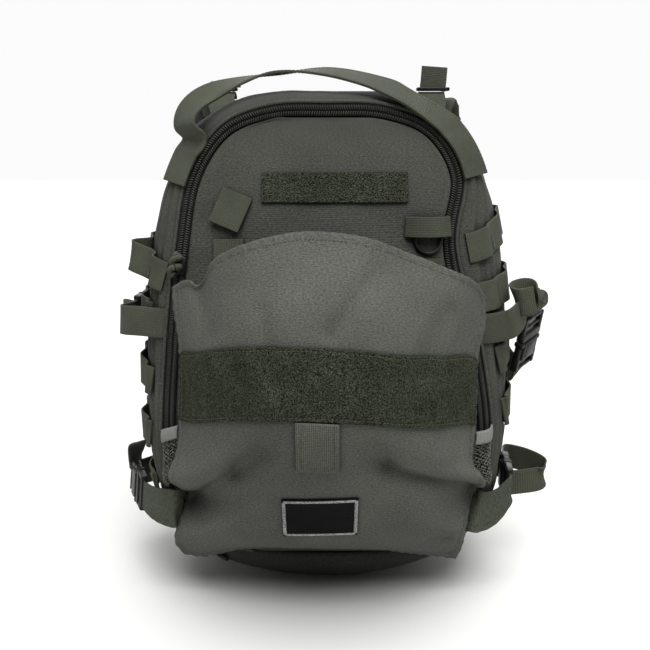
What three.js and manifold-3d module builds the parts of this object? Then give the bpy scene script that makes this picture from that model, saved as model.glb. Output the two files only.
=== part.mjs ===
// Assault backpack standing on its base: a hollow zipped main compartment, a front flap that
// bulges over carried gear, webbing ladders and compression straps on both sides, a webbing
// grab handle and padded shoulder straps behind.
// Millimetres. +X is right in the front view, -Y is the front, +Z is up, Z = 0 is the ground.
import * as THREE from "three";
import Module from "manifold-3d";

const wasm = await Module();
wasm.setup();

// Driving dimensions
const bag = { front: -82, back: 84, topLean: 24, leanFrom: 240, leanTo: 440, wall: 2.4 };
const shoulderPower = 2.3; // how square the front edge of the gusset is
const backPower = 2.5; // how square its back edge is
const wideAt = 0.5; // where along its depth the bag is widest
const gap = 0.4; // between neighbouring pieces
const zip = { width: 10.4, thick: 3, proud: 2.2, from: 0.125, to: 0.875 };
const panel = { crown: 16, off: 1.2, halfWidth: 128, middle: 235, halfHeight: 195, wall: 2.2 };
const pad = { thick: 11, edge: 8 };
const flap = { wall: 2, round: 2.3, leastClear: 1.7 };
const webbing = { width: 25.4, tail: 24.4, thick: 1.6 };
// Webbing rows on the sides: a row droops towards the front, and its slack is that of the second loop
const ladder = {
  left: [
    { z: 306, from: 0.006, droop: 18, slack: 16 },
    { z: 258, from: 0.06, droop: 6, slack: 4 },
    { z: 206, from: 0.03, droop: 10, slack: 4 },
    { z: 154, from: 0.06, droop: 8, slack: 4.5 },
    { z: 103, from: 0.085, droop: 6, slack: 2.6 },
  ],
  right: [
    { z: 330, from: 0.006, droop: 18, slack: 2.6 },
    { z: 279, from: 0.006, droop: 8, slack: 3.4 },
    { z: 228, from: 0.03, droop: 14, slack: 1.2 },
    { z: 177, from: 0.06, droop: 12, slack: 2.6 },
    { z: 126, from: 0.32, droop: 10, slack: 2.6 },
  ],
  tacks: [0.1, 0.29, 0.52, 0.75, 0.97],
  droopTo: 0.4,
  slack: 2.6,
  lift: 0.05, // a slack loop raises the tack before it, by this share of its slack
  sewnOff: 1.5, // from the bag to the middle of the webbing where it is sewn down
};
const buckle = { width: 33, thick: 10, socket: 30, plug: 24, slot: 27, slotDeep: 4, corner: 5 };
const glide = { width: 32, deep: 13, thick: 3.5, slot: 27.4, slotDeep: 4 };

// Half widths and heights of the zip seam, the widest line and the back edge, base to top
const outlines = [
  { seamLeft: 0, seamRight: 0, seamZ: 41, wide: 0, wideZ: -3, back: 0, backZ: -2 },
  { seamLeft: 60, seamRight: 60, seamZ: 44, wide: 60, wideZ: 5, back: 66, backZ: 1 },
  { seamLeft: 104, seamRight: 102, seamZ: 58, wide: 106, wideZ: 25, back: 110, backZ: 21 },
  { seamLeft: 132, seamRight: 131, seamZ: 92, wide: 143, wideZ: 59, back: 139, backZ: 56 },
  { seamLeft: 142, seamRight: 142, seamZ: 146, wide: 161, wideZ: 120, back: 151, backZ: 116 },
  { seamLeft: 137, seamRight: 131, seamZ: 226, wide: 163, wideZ: 226, back: 152, backZ: 226 },
  { seamLeft: 127, seamRight: 108, seamZ: 312, wide: 156, wideZ: 310, back: 146, backZ: 312 },
  { seamLeft: 116, seamRight: 114, seamZ: 372, wide: 141, wideZ: 370, back: 132, backZ: 370 },
  { seamLeft: 89, seamRight: 90, seamZ: 413, wide: 115, wideZ: 416, back: 108, backZ: 414 },
  { seamLeft: 48, seamRight: 48, seamZ: 430, wide: 64, wideZ: 441, back: 62, backZ: 438 },
  { seamLeft: 0, seamRight: 0, seamZ: 432, wide: 0, wideZ: 444, back: 0, backZ: 441 },
];

// The flap's side edges and its clearance in front of the panel, from hem (0) to top (1)
const flapRows = [
  { up: 0, left: -126, right: 114, edge: 9, centre: 1.7 },
  { up: 0.05, left: -133, right: 118, edge: 12, centre: 30 },
  { up: 0.12, left: -131, right: 121, edge: 14, centre: 53 },
  { up: 0.24, left: -122, right: 128, edge: 16, centre: 73 },
  { up: 0.32, left: -135, right: 138, edge: 19, centre: 87 },
  { up: 0.45, left: -128, right: 129, edge: 22, centre: 106 },
  { up: 0.55, left: -124, right: 125, edge: 23, centre: 113 },
  { up: 0.8, left: -122, right: 125, edge: 24, centre: 110 },
  { up: 0.9, left: -125, right: 130, edge: 23, centre: 101 },
  { up: 1, left: -127, right: 131, edge: 21, centre: 88 },
];
// The flap's top edge, and its hem, from left (0) to right (1)
const flapTop = [
  { across: 0, z: 284 },
  { across: 0.12, z: 309 },
  { across: 0.25, z: 327 },
  { across: 0.39, z: 337 },
  { across: 0.49, z: 338 },
  { across: 0.61, z: 333 },
  { across: 0.73, z: 321 },
  { across: 0.83, z: 309 },
  { across: 0.95, z: 292 },
  { across: 1, z: 276 },
];
const flapNotch = { across: 0.1, wide: 0.035, deep: 15, fade: 9 }; // beside the left corner
const flapHem = [
  { across: 0, z: 43 },
  { across: 0.08, z: 40 },
  { across: 0.2, z: 46 },
  { across: 0.36, z: 48 },
  { across: 0.7, z: 46 },
  { across: 0.86, z: 42 },
  { across: 1, z: 39 },
];
// Creases of the flap, each along a straight line; a swelling is a crease less than nothing deep
const flapFolds = [
  { fromU: 0.02, fromV: 0.235, toU: 0.24, toV: 0.365, wide: 0.042, deep: 13 },
  { fromU: 0.24, fromV: 0.37, toU: 0.31, toV: 0.43, wide: 0.055, deep: 6 },
  { fromU: 0, fromV: 0.33, toU: 0.17, toV: 0.4, wide: 0.055, deep: -5 },
  { fromU: 0.05, fromV: 0.12, toU: 0.22, toV: 0.2, wide: 0.07, deep: -8 },
  { fromU: 0.98, fromV: 0.27, toU: 0.68, toV: 0.41, wide: 0.038, deep: 13 },
  { fromU: 1, fromV: 0.36, toU: 0.8, toV: 0.45, wide: 0.055, deep: -5 },
  { fromU: 0.95, fromV: 0.13, toU: 0.78, toV: 0.22, wide: 0.07, deep: -8 },
  { fromU: 0.1, fromV: 0.97, toU: 0.13, toV: 0.8, wide: 0.04, deep: 7 },
];
const loopPanel = { low: 0.54, high: 0.725, lowRise: 0, highRise: 0.055, thick: 1.4, off: 0.9, edge: 0.012 };
const flapTab = { x: -7, width: 32, low: 0.387, thick: 1.5, off: 0.6 };
const patch = { x: -5.5, width: 60, low: 0.143, high: 0.285, thick: 1.2, rim: 2, tilt: 0.008, off: 0.6 };

const vec = (x, y, z) => new THREE.Vector3(x, y, z);
const mix = (a, b, k) => a + (b - a) * k;

// A smooth curve through the rows of a table, read at a place along one of its columns
function smooth(rows, along, column, place) {
  const last = rows.length - 1;
  let i = 0;
  while (i < last - 1 && place > rows[i + 1][along]) i += 1;
  const slope = (k) => {
    const a = rows[Math.max(k - 1, 0)];
    const b = rows[Math.min(k + 1, last)];
    return (b[column] - a[column]) / (b[along] - a[along]);
  };
  const span = rows[i + 1][along] - rows[i][along];
  const k = THREE.MathUtils.clamp((place - rows[i][along]) / span, 0, 1);
  const start = rows[i][column] * (1 + 2 * k) * (1 - k) ** 2 + slope(i) * span * k * (1 - k) ** 2;
  const end = rows[i + 1][column] * k * k * (3 - 2 * k) - slope(i + 1) * span * k * k * (1 - k);
  return start + end;
}

// Solids made from grids of points
function facingOut(geometry) {
  const points = geometry.getAttribute("position");
  const index = geometry.index.array;
  const corner = [vec(), vec(), vec()];
  let volume = 0;
  for (let i = 0; i < index.length; i += 3) {
    corner.forEach((c, k) => c.fromBufferAttribute(points, index[i + k]));
    volume += corner[0].dot(corner[1].cross(corner[2]));
  }
  if (volume < 0) geometry.setIndex(Array.from(index).reverse());
  return geometry;
}

// A wall between two grids of points; a closed wall joins its last column to its first
function wall(outer, inner, closed = false) {
  const columns = outer.length;
  const rows = outer[0].length;
  const places = [outer, inner].flat(2).flatMap((p) => p.toArray());
  const at = (skin, i, j) => (skin * columns + (i % columns)) * rows + j;
  const faces = [];
  const quad = (a, b, c, d) => faces.push(a, b, c, a, c, d);
  const spans = closed ? columns : columns - 1;
  const top = rows - 1;
  for (let i = 0; i < spans; i += 1) {
    for (let j = 0; j < top; j += 1) {
      quad(at(0, i, j), at(0, i + 1, j), at(0, i + 1, j + 1), at(0, i, j + 1));
      quad(at(1, i, j), at(1, i, j + 1), at(1, i + 1, j + 1), at(1, i + 1, j));
    }
    quad(at(0, i, 0), at(1, i, 0), at(1, i + 1, 0), at(0, i + 1, 0));
    quad(at(0, i, top), at(0, i + 1, top), at(1, i + 1, top), at(1, i, top));
  }
  for (let j = 0; j < top && !closed; j += 1) {
    quad(at(0, 0, j), at(0, 0, j + 1), at(1, 0, j + 1), at(1, 0, j));
    quad(at(0, spans, j), at(1, spans, j), at(1, spans, j + 1), at(0, spans, j + 1));
  }
  const geometry = new THREE.BufferGeometry();
  geometry.setAttribute("position", new THREE.Float32BufferAttribute(places, 3));
  geometry.setIndex(faces);
  return facingOut(geometry);
}

const grid = (columns, rows, point) =>
  Array.from({ length: columns }, (_, i) => Array.from({ length: rows }, (_, j) => point(i, j)));

// The grid moved along its own normals, column direction crossed with row direction
function lifted(points, distance, closed = false) {
  const columns = points.length;
  const rows = points[0].length;
  return grid(columns, rows, (i, j) => {
    const before = closed ? (i + columns - 1) % columns : Math.max(i - 1, 0);
    const after = closed ? (i + 1) % columns : Math.min(i + 1, columns - 1);
    const across = points[after][j].clone().sub(points[before][j]);
    const up = points[i][Math.min(j + 1, rows - 1)].clone().sub(points[i][Math.max(j - 1, 0)]);
    return points[i][j].clone().addScaledVector(across.cross(up).normalize(), distance);
  });
}

// A flat band along a route of points, each with the direction that its width takes
function band(route, width, thick) {
  const side = (half, lift) =>
    route.map((stop, k) => {
      const ahead = route[Math.min(k + 1, route.length - 1)].at;
      const along = ahead.clone().sub(route[Math.max(k - 1, 0)].at).normalize();
      const wide = stop.wide.clone().addScaledVector(along, -stop.wide.dot(along)).normalize();
      const face = wide.clone().cross(along).normalize();
      const place = stop.at.clone().addScaledVector(wide, (half * (stop.width ?? width)) / 2);
      return place.addScaledVector(face, (lift * thick) / 2);
    });
  return wall([side(-1, 1), side(1, 1)], [side(-1, -1), side(1, -1)]);
}

// Two overlapping lengths of the same webbing, joined into one solid
function joined(first, second) {
  const solid = (geometry) =>
    new wasm.Manifold(
      new wasm.Mesh({
        numProp: 3,
        vertProperties: geometry.getAttribute("position").array,
        triVerts: Uint32Array.from(geometry.index.array),
      }),
    );
  const { vertProperties, triVerts } = solid(first).add(solid(second)).getMesh();
  const geometry = new THREE.BufferGeometry();
  geometry.setAttribute("position", new THREE.BufferAttribute(vertProperties, 3));
  geometry.setIndex(Array.from(triVerts));
  return geometry;
}

// The bag's own surface
const frontAt = (z) =>
  bag.front + bag.topLean * THREE.MathUtils.smoothstep(z, bag.leanFrom, bag.leanTo);

function outlineCurve(right, left, height) {
  const upRight = outlines.map((row) => vec(row[right], 0, row[height]));
  const downLeft = outlines.slice(1, -1).reverse().map((row) => vec(-row[left], 0, row[height]));
  return new THREE.CatmullRomCurve3([...upRight, ...downLeft], true, "catmullrom", 0.5);
}
const seamCurve = outlineCurve("seamRight", "seamLeft", "seamZ");
const wideCurve = outlineCurve("wide", "wide", "wideZ");
const backCurve = outlineCurve("back", "back", "backZ");

// A point of the gusset: round is the place round the outline, deep runs from zip to back
function bagPoint(round, deep) {
  const wide = wideCurve.getPoint(round);
  const ahead = Math.min(deep / wideAt, 1);
  const behind = Math.max((deep - wideAt) / (1 - wideAt), 0);
  const swell = (1 - (1 - ahead) ** shoulderPower) ** (1 / shoulderPower);
  const point = seamCurve.getPoint(round).lerp(wide, swell);
  if (behind > 0) point.copy(wide.lerp(backCurve.getPoint(round), behind ** backPower));
  point.z = Math.max(point.z, 0);
  point.y = mix(frontAt(point.z), bag.back, deep);
  return point;
}

// The gusset's point at a height on one side (1 right, -1 left), and its outward direction there
function sidePlace(side, deep, height, off = 0) {
  let low = 0.06;
  let high = 0.48;
  for (let step = 0; step < 30; step += 1) {
    const middle = (low + high) / 2;
    if (bagPoint(side > 0 ? middle : 1 - middle, deep).z < height) low = middle;
    else high = middle;
  }
  const round = side > 0 ? low : 1 - low;
  const reach = 0.01;
  const ahead = bagPoint(round, Math.min(deep + reach, 1));
  const along = ahead.sub(bagPoint(round, Math.max(deep - reach, 0)));
  const up = bagPoint(round + reach * side, deep).sub(bagPoint(round - reach * side, deep));
  const out = along.cross(up).normalize().multiplyScalar(side);
  return { at: bagPoint(round, deep).addScaledVector(out, off), out, wide: up.normalize() };
}

// The outer face of the front panel
function panelFace(x, z) {
  const across = Math.max(1 - (x / panel.halfWidth) ** 2, 0);
  const up = Math.max(1 - ((z - panel.middle) / panel.halfHeight) ** 4, 0);
  return frontAt(z) - panel.off - panel.crown * across * up;
}

function seamInset(round, distance) {
  const along = seamCurve.getTangent(round);
  const point = seamCurve.getPoint(round);
  point.add(vec(-along.z, 0, along.x).multiplyScalar(distance));
  return point;
}

// The outer face of the flap
function flapPoint(u, v) {
  const x = mix(smooth(flapRows, "up", "left", v), smooth(flapRows, "up", "right", v), u);
  const notch = flapNotch.deep * Math.exp(-(((u - flapNotch.across) / flapNotch.wide) ** 2));
  const top = smooth(flapTop, "across", "z", u) - notch * v ** flapNotch.fade;
  const z = mix(smooth(flapHem, "across", "z", u), top, v);
  const edge = smooth(flapRows, "up", "edge", v);
  const centre = smooth(flapRows, "up", "centre", v);
  let clear = mix(centre, edge, Math.abs(2 * u - 1) ** flap.round);
  for (const fold of flapFolds) {
    const line = new THREE.Line3(vec(fold.fromU, fold.fromV, 0), vec(fold.toU, fold.toV, 0));
    const nearest = line.closestPointToPoint(vec(u, v, 0), true, vec());
    clear -= fold.deep * Math.exp(-((nearest.distanceTo(vec(u, v, 0)) / fold.wide) ** 2));
  }
  return vec(x, panelFace(x, z) - Math.max(clear, flap.leastClear), z);
}

// Materials
const cloth = (color, roughness = 0.85) =>
  new THREE.MeshStandardMaterial({ color, roughness, metalness: 0 });
const bagCloth = cloth("#5f615a");
const dimCloth = cloth("#3b3c37");
const webCloth = cloth("#53564a", 0.8);
const loopCloth = cloth("#31342a", 0.95);
const meshCloth = cloth("#24251f", 0.9);
const bindingCloth = cloth("#7d7e79", 0.8);
const patchCloth = cloth("#131414", 0.9);
const blackPlastic = cloth("#0f0f0f", 0.45);
const zipCoil = cloth("#1b1c19", 0.4);

const pack = new THREE.Group();
pack.name = "assault_backpack";
function add(name, geometry, material) {
  const mesh = new THREE.Mesh(geometry, material);
  mesh.name = name;
  pack.add(mesh);
  return mesh;
}
const sides = [
  { name: "left", sign: -1 },
  { name: "right", sign: 1 },
];

// Main compartment
const gussetStations = [0, 0.03, 0.09, 0.18, 0.32, 0.5, 0.7, 0.88, 1];
const gussetRound = 44;
const gussetSkin = grid(gussetRound, gussetStations.length, (i, j) =>
  bagPoint(i / gussetRound, gussetStations[j]),
);
add("side_gusset", wall(gussetSkin, lifted(gussetSkin, bag.wall, true), true), bagCloth);

// The front panel meets the zip along its sides and top, and the gusset along its base
const panelRows = { count: 17, from: 0.045, to: 0.462, zipInset: 11.2 };
const panelColumns = 13;
function panelEdge(round) {
  const zipped = THREE.MathUtils.smoothstep(round, panelRows.from, zip.from);
  return mix(gap, panelRows.zipInset, zipped);
}
const panelSkin = grid(panelColumns, panelRows.count, (i, j) => {
  const round = mix(panelRows.from, panelRows.to, j / (panelRows.count - 1));
  const right = seamInset(round, panelEdge(round));
  const left = seamInset(1 - round, panelEdge(round));
  const point = left.lerp(right, i / (panelColumns - 1));
  point.y = panelFace(point.x, point.z);
  return point;
});
add("front_panel", wall(panelSkin, lifted(panelSkin, -panel.wall)), bagCloth);

const backRows = { count: 14, from: 0.045, to: 0.462 };
const backColumns = 9;
const backGrid = (face) =>
  grid(backColumns, backRows.count, (i, j) => {
    const round = mix(backRows.from, backRows.to, j / (backRows.count - 1));
    const right = backCurve.getPoint(round);
    const left = backCurve.getPoint(1 - round);
    const across = i / (backColumns - 1);
    const point = left.lerp(right, across);
    const edgeFall = (pad.thick - pad.edge) * (2 * across - 1) ** 4;
    point.z = Math.max(point.z, 0);
    point.y = bag.back + gap + (face ? pad.thick - edgeFall : 0);
    return point;
  });
add("back_panel", wall(backGrid(true), backGrid(false)), dimCloth);

// Zip: a band of coil round the front panel, with a slider on the left and its cord pull
function zipStop(round) {
  const at = seamInset(round, gap + zip.width / 2);
  at.y = frontAt(at.z) - zip.proud;
  const along = seamCurve.getTangent(round);
  return { at, wide: vec(along.z, 0, -along.x) };
}
const zipSteps = 46;
const zipRoute = Array.from({ length: zipSteps + 1 }, (_, k) =>
  zipStop(mix(zip.from, zip.to, k / zipSteps)),
);
add("zipper_chain", band(zipRoute, zip.width, zip.thick), zipCoil);

const slider = { at: 0.708, length: 15, width: 9.4, waist: 6.6, thick: 3.6, clear: 0.8 };
const sliderShape = new THREE.Shape();
sliderShape.moveTo(-slider.width / 2, -slider.length / 2);
sliderShape.lineTo(slider.width / 2, -slider.length / 2);
sliderShape.lineTo(slider.waist / 2, slider.length / 2);
sliderShape.lineTo(-slider.waist / 2, slider.length / 2);
function addOnZip(name, round, geometry, material) {
  const stop = zipStop(round);
  const mesh = add(name, geometry, material);
  const reach = 0.004;
  const ahead = zipStop(round + reach).at.sub(zipStop(round - reach).at).normalize();
  const wide = stop.wide.clone().addScaledVector(ahead, -stop.wide.dot(ahead)).normalize();
  const out = wide.clone().cross(ahead);
  mesh.quaternion.setFromRotationMatrix(new THREE.Matrix4().makeBasis(wide, ahead, out));
  mesh.position.copy(stop.at).addScaledVector(out, zip.thick / 2 + slider.clear);
}
const sliderBody = new THREE.ExtrudeGeometry(sliderShape, { depth: slider.thick, bevelEnabled: false });
addOnZip("zipper_slider", slider.at, sliderBody, blackPlastic);
const pullProfile = [[0, 0], [3.4, 1], [5, 4], [5.4, 9], [4.6, 14], [2.4, 18], [0, 19]];
const pull = new THREE.LatheGeometry(pullProfile.map((p) => new THREE.Vector2(...p)), 12);
pull.rotateX(Math.PI);
pull.translate(3, 9, slider.thick + 6);
addOnZip("zip_pull", slider.at, pull, webCloth);

// What is sewn on the front panel: a stop lies off the panel, with its width along the panel
function panelStop(x, z, off, wideX, wideZ) {
  const on = (k) => vec(x + k * wideX, panelFace(x + k * wideX, z + k * wideZ), z + k * wideZ);
  return { at: on(0).add(vec(0, -off, 0)), wide: on(1).sub(on(-1)) };
}
const sewn = 1.5; // from the panel to the middle of the webbing
const frontBand = { from: -54, to: 67, z: 364, height: 25, thick: 1.2, steps: 8 };
const bandRoute = Array.from({ length: frontBand.steps + 1 }, (_, k) =>
  panelStop(mix(frontBand.from, frontBand.to, k / frontBand.steps), frontBand.z, sewn, 0, 1),
);
add("front_loop_band", band(bandRoute, frontBand.height, frontBand.thick), loopCloth);
const holdStraps = [
  { name: "left", x: -82, low: 236, high: 322 },
  { name: "right", x: 84, low: 236, high: 306 },
];
for (const strap of holdStraps) {
  const route = [0, 0.2, 0.4, 0.6, 0.8, 1].map((k) =>
    panelStop(strap.x, mix(strap.low, strap.high, k), sewn, 1, 0),
  );
  add(`hold_strap_${strap.name}`, band(route, webbing.width, webbing.thick), webCloth);
}
const holdTab = { x: -80, z: 346, turn: 0.42, length: 30, width: 27, lift: 3 };
const tabLean = { x: Math.sin(holdTab.turn), z: Math.cos(holdTab.turn) };
const tabRoute = [-0.5, -0.17, 0.17, 0.5].map((k) => {
  const x = holdTab.x + tabLean.x * k * holdTab.length;
  const z = holdTab.z + tabLean.z * k * holdTab.length;
  return panelStop(x, z, sewn + holdTab.lift * (0.5 - k), tabLean.z, -tabLean.x);
});
add("hold_tab_left", band(tabRoute, holdTab.width, webbing.thick), webCloth);
const keeper = { x: 84, z: 332, halfWidth: 19, height: 17, rise: 7 };
const keeperRoute = [-1, -0.6, -0.2, 0.2, 0.6, 1].map((k) =>
  panelStop(keeper.x + k * keeper.halfWidth, keeper.z, sewn + keeper.rise * (1 - k * k), 0, 1),
);
add("hold_keeper_right", band(keeperRoute, keeper.height, webbing.thick), webCloth);
const ring = { radius: 11, wire: 1.5, sides: 6, turns: 18, z: 321, off: 2.1 };
const ringMesh = add(
  "hold_ring_right",
  new THREE.TorusGeometry(ring.radius, ring.wire, ring.sides, ring.turns),
  blackPlastic,
);
const ringStop = panelStop(keeper.x, ring.z, ring.off, 1, 0);
const ringWide = ringStop.wide.normalize();
const ringUp = panelStop(keeper.x, ring.z, 0, 0, 1).wide.normalize();
ringUp.addScaledVector(ringWide, -ringUp.dot(ringWide)).normalize();
const ringAxes = new THREE.Matrix4().makeBasis(ringWide, ringUp, ringWide.clone().cross(ringUp));
ringMesh.quaternion.setFromRotationMatrix(ringAxes);
ringMesh.position.copy(ringStop.at);

// Front flap
const flapColumns = 25;
const flapLevels = 25;
const flapSkin = grid(flapColumns, flapLevels, (i, j) =>
  flapPoint(i / (flapColumns - 1), j / (flapLevels - 1)),
);
add("front_flap", wall(flapSkin, lifted(flapSkin, -flap.wall)), bagCloth);

// A thin piece lying on the flap: place(i, j) says where it is across and up the flap
function flapOff(u, v, lift) {
  const step = 0.004;
  const across = flapPoint(u + step, v).sub(flapPoint(u - step, v));
  const up = flapPoint(u, v + step).sub(flapPoint(u, v - step));
  return flapPoint(u, v).addScaledVector(across.cross(up).normalize(), lift);
}
function onFlap(columns, rows, place, thick, off) {
  const skin = (lift) =>
    grid(columns, rows, (i, j) => {
      const { u, v } = place(i / (columns - 1), j / (rows - 1));
      return flapOff(u, v, lift);
    });
  return wall(skin(off + thick), skin(off));
}
const loopPlace = (i, j) => {
  const u = mix(loopPanel.edge, 1 - loopPanel.edge, i);
  const out = (2 * u - 1) ** 2;
  const low = loopPanel.low + loopPanel.lowRise * out;
  return { u, v: mix(low, loopPanel.high + loopPanel.highRise * out, j) };
};
add("loop_panel", onFlap(25, 6, loopPlace, loopPanel.thick, loopPanel.off), loopCloth);

// Where a distance from the middle lies across the flap, at a level of it
function acrossAt(x, v) {
  const left = smooth(flapRows, "up", "left", v);
  return (x - left) / (smooth(flapRows, "up", "right", v) - left);
}
const tabPlace = (i, j) => {
  const v = mix(flapTab.low, loopPanel.low - 0.004, j);
  return { u: acrossAt(flapTab.x + flapTab.width * (i - 0.5), v), v };
};
add("flap_tab", onFlap(5, 6, tabPlace, flapTab.thick, flapTab.off), webCloth);
const patchPlace = (i, j) => {
  const v = mix(patch.low, patch.high, j) + patch.tilt * (2 * i - 1);
  return { u: acrossAt(patch.x + patch.width * (i - 0.5), v), v };
};
// The patch is one solid whose bound rim stands higher than its field
const patchLines = {
  across: [0, 0.045, 0.05, 0.35, 0.65, 0.95, 0.955, 1],
  up: [0, 0.08, 0.09, 0.5, 0.91, 0.92, 1],
};
const patchSkin = (lift) =>
  grid(patchLines.across.length, patchLines.up.length, (i, j) => {
    const { u, v } = patchPlace(patchLines.across[i], patchLines.up[j]);
    const rim = i < 2 || j < 2 || i > patchLines.across.length - 3 || j > patchLines.up.length - 3;
    return flapOff(u, v, patch.off + lift * (rim ? patch.rim : patch.thick));
  });
add("patch", wall(patchSkin(1), patchSkin(0)), patchCloth);

// Mesh gussets close the sides of the flap's foot, with a bound top edge and a wing below
const meshRows = { low: 0.3, high: 0.43, count: 5, wall: 1, swell: 5, inward: 2, seamOff: 0.45 };
const meshDrop = { left: 12, right: 0 }; // how much lower the mesh meets the bag than the flap
const meshBinding = { low: 0.4325, high: 0.475, count: 2, wall: 1.6 };
function meshAcross(sign, v, thick) {
  const edge = flapPoint(sign > 0 ? 1 : 0, v).add(vec(sign * gap, meshRows.inward, 0));
  const seamHeight = edge.z - (sign > 0 ? meshDrop.right : meshDrop.left);
  const seam = sidePlace(sign, 0, seamHeight).at.add(vec(sign * meshRows.seamOff, -meshRows.seamOff, 0));
  const out = vec(sign * 0.8, -0.6, 0);
  return [0, 0.33, 0.67, 1].map((k) => {
    const swell = Math.sin(Math.PI * k) * meshRows.swell + thick;
    return edge.clone().lerp(seam, k).addScaledVector(out, swell);
  });
}
function meshWall(sign, rows) {
  const skin = (thick) =>
    Array.from({ length: rows.count }, (_, j) =>
      meshAcross(sign, mix(rows.low, rows.high, j / (rows.count - 1)), thick),
    );
  return wall(skin(rows.wall), skin(0));
}
for (const { name, sign } of sides) {
  add(`mesh_gusset_${name}`, meshWall(sign, meshRows), meshCloth);
  add(`mesh_binding_${name}`, meshWall(sign, meshBinding), bindingCloth);
}

// Side webbing
for (const { name, sign } of sides) {
  ladder[name].forEach((row, number) => {
    const tacks = [row.from, ...ladder.tacks.filter((tack) => tack > row.from)];
    const steps = 4;
    const loops = tacks.length - 1;
    const route = Array.from({ length: loops * steps + 1 }, (_, k) => {
      const loop = Math.min(Math.floor(k / steps), loops - 1);
      const share = k / steps - loop;
      const slack = loop === 1 ? row.slack : ladder.slack;
      const deep = mix(tacks[loop], tacks[loop + 1], share);
      const droop = row.droop * (1 - Math.min(deep / ladder.droopTo, 1)) ** 2;
      const lift = ladder.lift * row.slack * Math.max(1 - Math.abs(k / steps - 1), 0);
      const off = ladder.sewnOff + lift + slack * Math.sin(Math.PI * share) ** 2;
      return sidePlace(sign, deep, row.z - droop, off);
    });
    add(`ladder_${name}_${number + 1}`, band(route, webbing.width, webbing.thick), webCloth);
  });
}

// A side-release buckle: outlines lie flat, length along x from the mouth, width along y
function buckleOutline(length, taper) {
  const half = buckle.width / 2;
  const shape = new THREE.Shape();
  shape.moveTo(0, -half + taper);
  shape.lineTo(0, half - taper);
  shape.lineTo(length * 0.35, half);
  shape.lineTo(length - buckle.corner, half);
  shape.quadraticCurveTo(length, half, length, half - buckle.corner);
  shape.lineTo(length, -half + buckle.corner);
  shape.quadraticCurveTo(length, -half, length - buckle.corner, -half);
  shape.lineTo(length * 0.35, -half);
  const slot = new THREE.Path();
  const slotEnd = length - 3;
  slot.moveTo(slotEnd, -buckle.slot / 2);
  slot.lineTo(slotEnd, buckle.slot / 2);
  slot.lineTo(slotEnd - buckle.slotDeep, buckle.slot / 2);
  slot.lineTo(slotEnd - buckle.slotDeep, -buckle.slot / 2);
  shape.holes.push(slot);
  return shape;
}
function addBuckle(name, at, along, wide) {
  const x = along.clone().normalize();
  const y = wide.clone().addScaledVector(x, -wide.dot(x)).normalize();
  const pieces = [
    { kind: "socket", length: buckle.socket, thick: buckle.thick, turn: 1, taper: 1 },
    { kind: "plug", length: buckle.plug, thick: buckle.thick * 0.75, turn: -1, taper: 4 },
  ];
  for (const piece of pieces) {
    const body = new THREE.ExtrudeGeometry(buckleOutline(piece.length, piece.taper), {
      depth: piece.thick,
      bevelEnabled: false,
      curveSegments: 3,
    });
    body.translate(gap / 2, 0, -piece.thick / 2);
    if (piece.turn < 0) body.rotateZ(Math.PI);
    const mesh = add(`${name}_${piece.kind}`, body, blackPlastic);
    mesh.quaternion.setFromRotationMatrix(new THREE.Matrix4().makeBasis(x, y, x.clone().cross(y)));
    mesh.position.copy(at);
  }
  const end = (length) => at.clone().addScaledVector(x, length);
  const clear = 2 * gap;
  const z = x.clone().cross(y);
  return { socketEnd: end(buckle.socket + clear), plugEnd: end(-buckle.plug - clear), x, y, z };
}

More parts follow.
